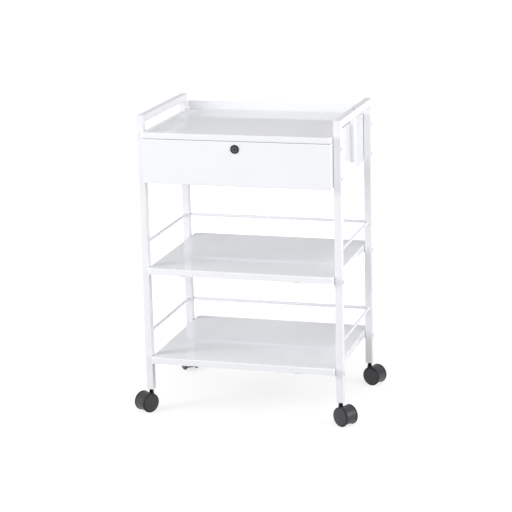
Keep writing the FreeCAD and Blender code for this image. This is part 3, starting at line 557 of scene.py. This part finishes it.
def ring(
    direction: tuple[float, float, float], at: float, radius: float, centre: Vector | None = None
) -> Callable[[Any], bool]:
    """Makes a test for the edges of one circle round an axis.

    Args:
        direction: The axis of the circle.
        at: How far along the axis the circle lies.
        radius: Its radius.
        centre: A point on the axis, or None for the origin.

    Returns:
        The test, for pick().
    """
    axis = Vector(direction)
    start = centre or Vector((0.0, 0.0, 0.0))

    def on_ring(corner: Any) -> bool:
        out = corner.co - start
        along = out.dot(axis)
        return abs(along - at) < ON_PLANE and abs((out - axis * along).length - radius) < ON_PLANE

    return lambda edge: all(on_ring(corner) for corner in edge.verts)


def inset(width: float) -> None:
    """Insets the selected face by a width in metres."""
    bpy.ops.mesh.inset(thickness=width)


def extrude(x: float = 0.0, y: float = 0.0, z: float = 0.0) -> None:
    """Extrudes the selected faces along a vector in metres."""
    bpy.ops.mesh.extrude_region_move(TRANSFORM_OT_translate={"value": (x, y, z)})


def move(x: float = 0.0, y: float = 0.0, z: float = 0.0) -> None:
    """Moves the selection along a vector in metres."""
    bpy.ops.transform.translate(value=(x, y, z))


def cylinder(
    name: str,
    radius: float,
    length: float,
    middle: tuple[float, float, float],
    tilt: tuple[float, float, float] = (0.0, 0.0, 0.0),
    sides: int = 96,
) -> bpy.types.Object:
    """Adds the turned blank that a piece is shaped from.

    Args:
        name: Name of the piece.
        radius: Radius of the blank.
        length: Its length.
        middle: Its middle.
        tilt: Turns about X, Y and Z from an upright cylinder, in radians.
        sides: How many flat sides stand for the round.

    Returns:
        The blank, its place in its mesh.
    """
    bpy.ops.object.select_all(action="DESELECT")
    bpy.ops.mesh.primitive_cylinder_add(
        vertices=sides, radius=radius, depth=length, location=middle, rotation=tilt
    )
    piece = bpy.context.object
    piece.name = piece.data.name = name
    bpy.ops.object.transform_apply(location=True, rotation=True, scale=True)
    return piece


def smooth(piece: bpy.types.Object, angle: float = 32.0) -> None:
    """Shades the rounds smooth and keeps flats flat and corners sharp.

    Args:
        piece: The finished piece.
        angle: Faces that meet at more than this many degrees keep a sharp edge.
    """
    activate(piece)
    bpy.ops.object.shade_smooth_by_angle(angle=math.radians(angle))
    weighted = piece.modifiers.new("flat faces lead", "WEIGHTED_NORMAL")
    weighted.keep_sharp = True
    bpy.ops.object.modifier_apply(modifier=weighted.name)


def copy_at(piece: bpy.types.Object, name: str, place: Matrix) -> bpy.types.Object:
    """Copies a piece with its own mesh, moved inside the mesh.

    Args:
        piece: The modelled piece.
        name: Name of the copy.
        place: Where the copy goes.

    Returns:
        The copy.
    """
    copy = bpy.data.objects.new(name, piece.data.copy())
    copy.data.name = name
    copy.data.transform(place)
    bpy.context.scene.collection.objects.link(copy)
    return copy


def dress(nodes: Iterable[str], material: bpy.types.Material) -> None:
    """Gives CAD nodes one material.

    Args:
        nodes: Names of the nodes.
        material: What they are made of.
    """
    for name in nodes:
        data = frame["nodes"][name].data
        data.materials.clear()
        data.materials.append(material)
        LOG.info("dressed %s in %s", name, material.name)


def fit(
    piece: bpy.types.Object, body: str, slot: str, material: bpy.types.Material, *nodes: str
) -> None:
    """Puts a new piece on its body, with its finish and the CAD nodes that it stands for.

    Args:
        piece: The finished piece.
        body: The body it rides on.
        slot: Material slot of the record; not used.
        material: Its material, unless it has some already.
        *nodes: CAD nodes that it replaces.
    """
    if not piece.data.materials:
        piece.data.materials.append(material)
    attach(piece, body)
    if nodes:
        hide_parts(*nodes)
    LOG.info("fitted %s on %s for %s", piece.name, body, ", ".join(nodes) or "itself")


def polish(nodes: Iterable[str], material: bpy.types.Material) -> None:
    """Replaces curved CAD nodes by merged copies that shade smooth on their rounds.

    Args:
        nodes: Names of the nodes.
        material: What they are made of.
    """
    for name in nodes:
        node = frame["nodes"][name]
        piece = copy_at(node, name + "_surface", Matrix.Identity(4))
        piece.data.materials.clear()
        activate(piece)
        bpy.ops.mesh.customdata_custom_splitnormals_clear()
        with editing(piece):
            bpy.ops.mesh.select_all(action="SELECT")
            bpy.ops.mesh.remove_doubles(threshold=MERGE)
        smooth(piece)
        fit(piece, node["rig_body"], SLOTS[name], material, name)


# Sub-assemblies ----------------------------------------------------------------------------------


@dataclass
class SideFrames:
    """Two welded frames of square tube, the guard rods between them and the lamp socket."""

    finishes: Finishes
    rod_radius: float = 4.0 * MM
    bead_radius: float = 0.9 * MM
    bead_ripple: float = 0.25 * MM
    bead_sides: int = 48
    bead_profile_sides: int = 10
    ripple_every: int = 3
    coated_depth: float = 1.5 * MM

    def build(self) -> None:
        """Finishes the tubes, rods and socket, and runs a weld round the end of every rod."""
        posts = ["%s_%s_post" % (side.value, end.value) for side in Side for end in End]
        rails = ["%s_top_rail" % side.value for side in Side]
        places = ("left", "right", "back")
        rods = ["%s_%s_rod" % (level.value, where) for level in Level for where in places]
        polish(posts + rails + rods + ["lamp_socket"], self.finishes.tube_coat)
        self.bare_the_socket()
        self.weld_rods()
        dress(["post_inserts", "frame_washers"], self.finishes.black_plastic)
        polish(["frame_bolts"], self.finishes.nickel)
        dress(["frame_nuts"], self.finishes.zinc)

    def bare_the_socket(self) -> None:
        """Leaves the bore of the lamp socket uncoated below its mouth."""
        socket = bpy.data.objects["lamp_socket_surface"]
        low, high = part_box("lamp_socket")
        axis, mouth = (low + high) / 2, high.z - self.coated_depth
        socket.data.materials.append(self.finishes.bare_steel_and_painted_shade)
        with editing(socket):
            bpy.ops.mesh.select_all(action="SELECT")
            bpy.ops.mesh.bisect(plane_co=(0.0, 0.0, mouth), plane_no=(0.0, 0.0, 1.0))

            def inside(face: Any) -> bool:
                centre = face.calc_center_median()
                out = Vector((centre.x - axis.x, centre.y - axis.y, 0.0))
                return centre.z < mouth and face.normal.dot(out) < -0.5 * out.length

            pick(socket, Part.FACES, inside)
            socket.active_material_index = 1
            bpy.ops.object.material_slot_assign()

    def weld_rods(self) -> None:
        """Copies one rippled bead to both ends of each rod."""
        bead = self.bead()
        for level in Level:
            for where, along in (("left", "Y"), ("right", "Y"), ("back", "X")):
                low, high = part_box("%s_%s_rod" % (level.value, where))
                middle = (low + high) / 2
                for number, end in enumerate((low, high), start=1):
                    spot = middle.copy()
                    setattr(spot, along.lower(), getattr(end, along.lower()))
                    turn = Matrix.Rotation(QUARTER_TURN, 4, "X" if along == "Y" else "Y")
                    name = "weld_%s_%s_%d" % (level.value, where, number)
                    copy = copy_at(bead, name, Matrix.Translation(spot) @ turn)
                    fit(copy, "root", "white_powder_coat", self.finishes.tube_coat)
        bpy.data.objects.remove(bead)

    def bead(self) -> bpy.types.Object:
        """Models a weld bead with the ripples that the torch leaves.

        Returns:
            The bead round the Z axis, at the origin.
        """
        bpy.ops.object.select_all(action="DESELECT")
        bpy.ops.mesh.primitive_torus_add(
            major_segments=self.bead_sides,
            minor_segments=self.bead_profile_sides,
            major_radius=self.rod_radius,
            minor_radius=self.bead_radius,
        )
        bead = bpy.context.object
        bead.name = "weld_bead"
        step = 2 * math.pi / self.bead_sides

        def crest(edge: Any) -> bool:
            turns = [round(math.atan2(corner.co.y, corner.co.x) / step) for corner in edge.verts]
            return turns[0] == turns[1] and turns[0] % self.ripple_every == 0

        with editing(bead):
            pick(bead, Part.EDGES, crest)
            bpy.ops.transform.shrink_fatten(value=self.bead_ripple)
        smooth(bead, 60.0)
        return bead


@dataclass
class Shelves:
    """Two folded shelves with the stiffening channels welded under them."""

    finishes: Finishes
    sheet: float = 1.0 * MM
    channel_half: float = 9.0 * MM

    def build(self) -> None:
        """Finishes the shelves, and the channels with painted shade in their hollow."""
        polish([level.value + "_shelf" for level in Level], self.finishes.sheet_coat)
        polish([level.value + "_shelf_channels" for level in Level], self.finishes.sheet_coat)
        for level in Level:
            self.paint_shade_in_hollow(level.value + "_shelf_channels")

    def paint_shade_in_hollow(self, node: str) -> None:
        """Paints the inside of a shelf's two channels dull grey: painted shade in their hollow.

        Args:
            node: The node of the channels.
        """
        low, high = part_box(node)
        web = low.z + self.sheet
        channels = bpy.data.objects[node + "_surface"]
        channels.data.materials.append(self.finishes.bare_steel_and_painted_shade)
        reach = max(corner.co.x for corner in channels.data.vertices if corner.co.z < web)
        middle = reach - self.channel_half

        def inside(face: Any) -> bool:
            centre = face.calc_center_median()
            across = abs(abs(centre.x) - middle)
            return across < self.channel_half - self.sheet / 2 and centre.z > web - ON_PLANE

        # The grey given to the hollow here is painted shade.
        with editing(channels):
            pick(channels, Part.FACES, inside)
            channels.active_material_index = 1
            bpy.ops.object.material_slot_assign()


@dataclass
class Cabinet:
    """The tray and the panels that hold the drawer."""

    finishes: Finishes

    def build(self) -> None:
        """Finishes the tray, the panels, the catch and the fixed runners."""
        polish(["top_tray"], self.finishes.sheet_coat)
        panels = ["cabinet_left_side", "cabinet_right_side", "cabinet_back_panel"]
        dress(panels, self.finishes.sheet_coat)
        fixed = ["lock_catch", "cabinet_runner_left", "cabinet_runner_right"]
        dress(fixed, self.finishes.tube_coat)
        polish(["cabinet_roller_left", "cabinet_roller_right"], self.finishes.roller_nylon)
        polish(["cabinet_roller_pins"], self.finishes.zinc)


@dataclass
class Drawer:
    """The drawer with its front, runners and cam lock."""

    finishes: Finishes
    rim_radius: float = 12.0 * MM
    rim_height: float = 2.0 * MM
    rim_round: float = 0.9 * MM
    shield_radius: float = 8.8 * MM
    shield_depth: float = 0.5 * MM
    barrel_radius: float = 9.0 * MM
    barrel_length: float = 22.4 * MM
    plug_bore: float = 6.5 * MM
    slot_width: float = 2.8 * MM
    slot_height: float = 8.0 * MM
    slot_round: float = 1.2 * MM
    slot_edge: float = 0.5 * MM
    slot_sink: float = 0.2 * MM
    painted_keyway_proud: float = 0.15 * MM

    def build(self) -> None:
        """Finishes the drawer, models its lock and dresses the rest."""
        polish(["drawer_front"], self.finishes.sheet_coat)
        dress(["drawer_box"], self.finishes.sheet_coat)
        dress(["drawer_runner_left", "drawer_runner_right"], self.finishes.tube_coat)
        polish(["drawer_roller_left", "drawer_roller_right"], self.finishes.roller_nylon)
        polish(["drawer_roller_pins", "drawer_screws", "lock_nut", "lock_cam"], self.finishes.zinc)
        polish(["lock_plug"], self.finishes.lock_grey)
        self.lock_body()
        self.keyway()

    def lock_body(self) -> None:
        """Turns the lock's body: a rounded black rim round a sunk grey shield, and the barrel."""
        front, body_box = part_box("drawer_front")[0].y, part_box("lock_body")
        axis = Vector((0.0, 0.0, (body_box[0].z + body_box[1].z) / 2))
        blank = cylinder(
            "lock_body_surface",
            self.rim_radius,
            self.rim_height,
            (0.0, front - self.rim_height / 2, axis.z),
            (QUARTER_TURN, 0.0, 0.0),
        )
        face, rear = front - self.rim_height, front + self.barrel_length
        with editing(blank):
            pick(blank, Part.FACES, facing((0.0, 1.0, 0.0), front))
            inset(self.rim_radius - self.barrel_radius)
            extrude(y=self.barrel_length)
            inset(self.barrel_radius - self.plug_bore)
            bpy.ops.mesh.delete(type="FACE")
            pick(blank, Part.FACES, facing((0.0, -1.0, 0.0), -face))
            inset(self.rim_radius - self.shield_radius)
            extrude(y=self.shield_depth)
            inset(self.shield_radius - self.plug_bore)
            bpy.ops.mesh.delete(type="FACE")
            bore_front = ring((0.0, 1.0, 0.0), face + self.shield_depth, self.plug_bore, axis)
            bore_rear = ring((0.0, 1.0, 0.0), rear, self.plug_bore, axis)
            pick(blank, Part.EDGES, lambda edge: bore_front(edge) or bore_rear(edge))
            bpy.ops.mesh.bridge_edge_loops()
            pick(blank, Part.EDGES, ring((0.0, 1.0, 0.0), face, self.rim_radius, axis))
            bpy.ops.mesh.bevel(offset=self.rim_round, segments=5, affect="EDGES")
            blank.data.materials.append(self.finishes.lock_black)
            blank.data.materials.append(self.finishes.lock_grey)
            pick(blank, Part.FACES, facing((0.0, -1.0, 0.0), -face - self.shield_depth))
            blank.active_material_index = 1
            bpy.ops.object.material_slot_assign()
            bpy.ops.mesh.select_all(action="SELECT")
            bpy.ops.mesh.normals_make_consistent(inside=False)
        smooth(blank)
        fit(blank, "drawer", SLOTS["lock_body"], self.finishes.lock_black, "lock_body")

    def keyway(self) -> None:
        """Lets a black plate with a sunk slot into the face of the plug: painted shade of the
        keyway.
        """
        low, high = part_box("lock_plug")
        height = (low.z + high.z) / 2
        # The black plate is painted shade, standing for the dark inside a deep keyway.
        bpy.ops.object.select_all(action="DESELECT")
        bpy.ops.mesh.primitive_cube_add(
            size=1.0,
            location=(0.0, low.y, height),
            scale=(self.slot_width, 2 * self.painted_keyway_proud, self.slot_height),
        )
        painted_keyway = bpy.context.object
        painted_keyway.name = painted_keyway.data.name = "keyway_painted_shade"
        bpy.ops.object.transform_apply(location=True, rotation=True, scale=True)

        def corner(edge: Any) -> bool:
            ends = edge.verts[1].co - edge.verts[0].co
            return abs(ends.y) > self.painted_keyway_proud

        with editing(painted_keyway):
            pick(painted_keyway, Part.EDGES, corner)
            bpy.ops.mesh.bevel(offset=self.slot_round, segments=6, affect="EDGES")
            pick(painted_keyway, Part.FACES, facing((0.0, -1.0, 0.0)))
            inset(self.slot_edge)
            extrude(y=self.slot_sink)
        smooth(painted_keyway)
        fit(painted_keyway, "key_plug", SLOTS["lock_body"], self.finishes.lock_black)


@dataclass
class Casters:
    """Four twin-wheel swivel casters."""

    finishes: Finishes
    radius: float = 27.5 * MM
    face: float = 21.0 * MM
    disc: float = 4.5 * MM
    tread: float = 3.4 * MM
    cap_seat: float = 1.2 * MM
    cap_gap: float = 0.25 * MM
    drum_radius: float = 23.0 * MM
    drum_wall: float = 2.0 * MM
    drum_inset: float = 8.0 * MM
    hub_radius: float = 6.5 * MM
    hub_inset: float = 4.6 * MM
    bore_radius: float = 3.05 * MM
    joint_offset: float = 12.0 * MM
    outer_round: float = 2.0 * MM
    inner_round: float = 1.4 * MM
    seat_round: float = 0.4 * MM
    # The cap's dome from its rim to its middle: how far in and how far up each step goes, in mm.
    dome_mm: tuple[tuple[float, float], ...] = (
        (0.35, 0.5),
        (0.5, 0.3),
        (1.4, 0.3),
        (3.6, 0.3),
        (6.0, 0.25),
        (6.0, 0.1),
    )

    def build(self) -> None:
        """Models one wheel and one cap, copies them to every caster, and finishes the rest."""
        polish(["caster_stems"], self.finishes.black_zinc)
        polish(["caster_hood_" + corner for corner in CORNERS], self.finishes.caster_grey)
        polish(["caster_axle_" + corner for corner in CORNERS], self.finishes.axle_steel)
        wheel, cap = self.wheel(), self.cap()
        for corner in CORNERS:
            for side in Side:
                place = self.wheel_place(corner, side)
                body = "wheel_%s_%s" % (corner, side.value)
                node = "caster_wheel_%s_%s" % (corner, side.value)
                copy = copy_at(wheel, node + "_surface", place)
                fit(copy, body, SLOTS[node], self.finishes.tread_black, node)
                disc = copy_at(cap, "wheel_cap_%s_%s" % (corner, side.value), place)
                fit(disc, body, SLOTS[node], self.finishes.caster_grey)
        bpy.data.objects.remove(wheel)
        bpy.data.objects.remove(cap)

    def wheel_place(self, corner: str, side: Side) -> Matrix:
        """Finds where a wheel goes that is modelled at the origin and looks towards +X.

        Args:
            corner: The caster's corner.
            side: Which of its wheels.

        Returns:
            The wheel's place.
        """
        spin = JOINTS["wheel_spin_%s_%s" % (corner, side.value)]
        outward = Vector(spin["axis"]) * (1 if side is Side.RIGHT else -1)
        middle = Vector(spin["pos_m"]) - outward * self.joint_offset
        turn = Matrix.Rotation(math.atan2(outward.y, outward.x), 4, "Z")
        return Matrix.Translation(middle) @ turn

    def wheel(self) -> bpy.types.Object:
        """Turns a wheel: rounded tread, a seat for the cap, and a hollow drum round the hub.

        Returns:
            The wheel, which looks towards +X from the origin.
        """
        inner = self.face - self.disc
        middle = (self.face - self.disc / 2, 0.0, 0.0)
        wheel = cylinder("wheel", self.radius, self.disc, middle, (0.0, QUARTER_TURN, 0.0))
        with editing(wheel):
            pick(wheel, Part.FACES, facing((1.0, 0.0, 0.0)))
            inset(self.tread)
            extrude(x=-self.cap_seat)
            pick(wheel, Part.FACES, facing((-1.0, 0.0, 0.0)))
            inset(self.radius - self.drum_radius)
            extrude(x=self.drum_inset - inner)
            inset(self.drum_wall)
            extrude(x=inner - self.drum_inset)
            inset(self.drum_radius - self.drum_wall - self.hub_radius)
            extrude(x=self.hub_inset - inner)
            inset(self.hub_radius - self.bore_radius)
            extrude(x=inner - self.hub_inset)
            pick(wheel, Part.EDGES, ring((1.0, 0.0, 0.0), self.face, self.radius))
            bpy.ops.mesh.bevel(offset=self.outer_round, segments=6, affect="EDGES")
            pick(wheel, Part.EDGES, ring((1.0, 0.0, 0.0), inner, self.radius))
            bpy.ops.mesh.bevel(offset=self.inner_round, segments=4, affect="EDGES")
            pick(wheel, Part.EDGES, ring((1.0, 0.0, 0.0), self.face, self.radius - self.tread))
            bpy.ops.mesh.bevel(offset=self.seat_round, segments=2, affect="EDGES")
        smooth(wheel)
        return wheel

    def cap(self) -> bpy.types.Object:
        """Turns the slightly domed cap that snaps into the wheel's seat.

        Returns:
            The cap, which looks towards +X from the origin.
        """
        radius = self.radius - self.tread - self.cap_gap
        seat = self.face - self.cap_seat
        middle = (seat + self.cap_seat / 2, 0.0, 0.0)
        cap = cylinder("cap", radius, self.cap_seat, middle, (0.0, QUARTER_TURN, 0.0))
        with editing(cap):
            pick(cap, Part.FACES, facing((1.0, 0.0, 0.0)))
            for width, rise in self.dome_mm:
                inset(width * MM)
                move(x=rise * MM)
        smooth(cap, 50.0)
        return cap


# Studio ------------------------------------------------------------------------------------------


@dataclass(frozen=True)
class Softbox:
    """A rectangular soft lamp that looks at the middle of the trolley."""

    name: str
    place: tuple[float, float, float]
    width: float
    height: float
    power: float


@dataclass
class Studio:
    """White sweep, soft lamps and the camera of the photograph."""

    floor_size: float = 30.0
    floor_grey: str = "9C9C9C"
    floor_lift: float = 0.74
    shadow_reach: float = 0.5
    white_from: float = 2.5
    camera_place: tuple[float, float, float] = (1.3510, -4.5867, 1.6404)
    azimuth: float = 16.54
    elevation: float = 14.39
    roll: float = -1.38
    lens: float = 123.5
    sensor_width: float = 36.0
    view_depth: float = 100.0
    # The world is bright near the horizon and overhead, each over a band of heights of 0 to 1.
    horizon_light: float = 0.81
    horizon_band: tuple[float, float] = (0.05, 0.4)
    zenith_light: float = 0.69
    zenith_band: tuple[float, float] = (0.1, 0.6)
    aim_height: float = 0.45
    lamps: tuple[Softbox, ...] = (
        Softbox("left_softbox", (-3.2, -2.2, 1.7), 1.6, 2.0, 95.0),
        Softbox("front_softbox", (0.0, -3.4, 1.7), 1.6, 1.4, 12.0),
        Softbox("right_front_softbox", (2.6, -2.6, 1.2), 1.2, 1.4, 21.0),
        Softbox("right_softbox", (2.2, -0.3, 1.1), 1.2, 1.4, 24.0),
    )

    def build(self) -> None:
        """Makes the floor, the lamps, the world and the camera."""
        self.add_floor()
        self.add_world()
        for lamp in self.lamps:
            self.add_lamp(lamp)
        self.add_camera()
        bpy.context.scene.view_settings.view_transform = "Standard"

    def add_floor(self) -> None:
        """Lays a floor that is seen as white, keeps the shadow and throws back little light."""
        bpy.ops.object.select_all(action="DESELECT")
        bpy.ops.mesh.primitive_plane_add(size=self.floor_size)
        floor = bpy.context.object
        floor.name = "studio_floor"
        material, tree, output = new_material("white_studio_floor")
        paint = add_node(tree, "BsdfDiffuse", {"Color": linear(self.floor_grey)})
        path = add_node(tree, "LightPath")
        seen = add_node(
            tree,
            "Math",
            {0: path.outputs["Is Camera Ray"], 1: path.outputs["Is Glossy Ray"]},
            operation="MAXIMUM",
        )
        place = add_node(tree, "TexCoord").outputs["Object"]
        away = add_node(tree, "VectorMath", {0: place}, operation="LENGTH")
        fade = add_node(
            tree,
            "MapRange",
            {
                "Value": away.outputs["Value"],
                "From Min": self.shadow_reach,
                "From Max": self.white_from,
                "To Min": self.floor_lift,
                "To Max": 1.0,
            },
        )
        lift = add_node(
            tree, "Math", {0: seen.outputs[0], 1: fade.outputs["Result"]}, operation="MULTIPLY"
        )
        glow = add_node(tree, "Emission", {"Color": linear("FFFFFF"), "Strength": lift.outputs[0]})
        both = add_node(tree, "AddShader", {0: paint.outputs[0], 1: glow.outputs[0]})
        tree.links.new(both.outputs[0], output.inputs["Surface"])
        floor.data.materials.append(material)

    def add_world(self) -> None:
        """Surrounds the trolley with soft light from the horizon and from above."""
        world = bpy.data.worlds.new("studio_world")
        bpy.context.scene.world = world
        world.use_nodes = True
        tree = world.node_tree
        tree.nodes.clear()
        output = add_node(tree, "OutputWorld")
        path = add_node(tree, "LightPath")
        direction = add_node(tree, "TexCoord").outputs["Generated"]
        height = add_node(tree, "SeparateXYZ", {0: direction}).outputs["Z"]
        horizon = add_node(
            tree,
            "MapRange",
            {
                "Value": height,
                "From Min": self.horizon_band[0],
                "From Max": self.horizon_band[1],
                "To Min": self.horizon_light,
                "To Max": 0.0,
            },
        )
        zenith = add_node(
            tree,
            "MapRange",
            {
                "Value": height,
                "From Min": self.zenith_band[0],
                "From Max": self.zenith_band[1],
                "To Min": 0.0,
                "To Max": self.zenith_light,
            },
        )
        sky = add_node(
            tree,
            "Math",
            {0: horizon.outputs["Result"], 1: zenith.outputs["Result"]},
            operation="ADD",
        )
        seen = add_node(
            tree,
            "Math",
            {0: path.outputs["Is Camera Ray"], 1: path.outputs["Is Transmission Ray"]},
            operation="MAXIMUM",
        )
        strength = add_node(
            tree,
            "Mix",
            {"Factor": seen.outputs[0], "A": sky.outputs[0], "B": 1.0},
            data_type="FLOAT",
        )
        light = add_node(
            tree, "Background", {"Color": linear("FFFFFF"), "Strength": strength.outputs[0]}
        )
        tree.links.new(light.outputs[0], output.inputs["Surface"])

    def add_lamp(self, lamp: Softbox) -> None:
        """Hangs a soft lamp.

        Args:
            lamp: Its name, place, size and power in watts.
        """
        data = bpy.data.lights.new(lamp.name, "AREA")
        data.shape = "RECTANGLE"
        data.size, data.size_y = lamp.width, lamp.height
        data.energy = lamp.power
        light = bpy.data.objects.new(lamp.name, data)
        bpy.context.scene.collection.objects.link(light)
        aim = Vector((0.0, 0.0, self.aim_height)) - Vector(lamp.place)
        turn = aim.to_track_quat("-Z", "Y").to_matrix().to_4x4()
        light.matrix_world = Matrix.Translation(lamp.place) @ turn

    def add_camera(self) -> None:
        """Sets the camera where the photograph was taken from."""
        data = bpy.data.cameras.new("photo_camera")
        data.sensor_width = self.sensor_width
        data.lens = self.lens
        data.clip_end = self.view_depth
        camera = bpy.data.objects.new("photo_camera", data)
        bpy.context.scene.collection.objects.link(camera)
        azimuth, elevation = math.radians(self.azimuth), math.radians(self.elevation)
        ahead = Vector(
            (
                -math.sin(azimuth) * math.cos(elevation),
                math.cos(azimuth) * math.cos(elevation),
                -math.sin(elevation),
            )
        )
        level = ahead.to_track_quat("-Z", "Y").to_matrix()
        turned = level @ Matrix.Rotation(math.radians(self.roll), 3, "Z")
        camera.matrix_world = Matrix.Translation(self.camera_place) @ turned.to_4x4()
        bpy.context.scene.camera = camera


def main() -> None:
    """Builds and dresses the trolley, then the studio round it."""
    logging.basicConfig(level=logging.INFO, format="%(message)s")
    finishes = Finishes()
    for assembly in (SideFrames, Shelves, Cabinet, Drawer, Casters):
        assembly(finishes).build()
    Studio().build()


if __name__ == "__main__":
    main()
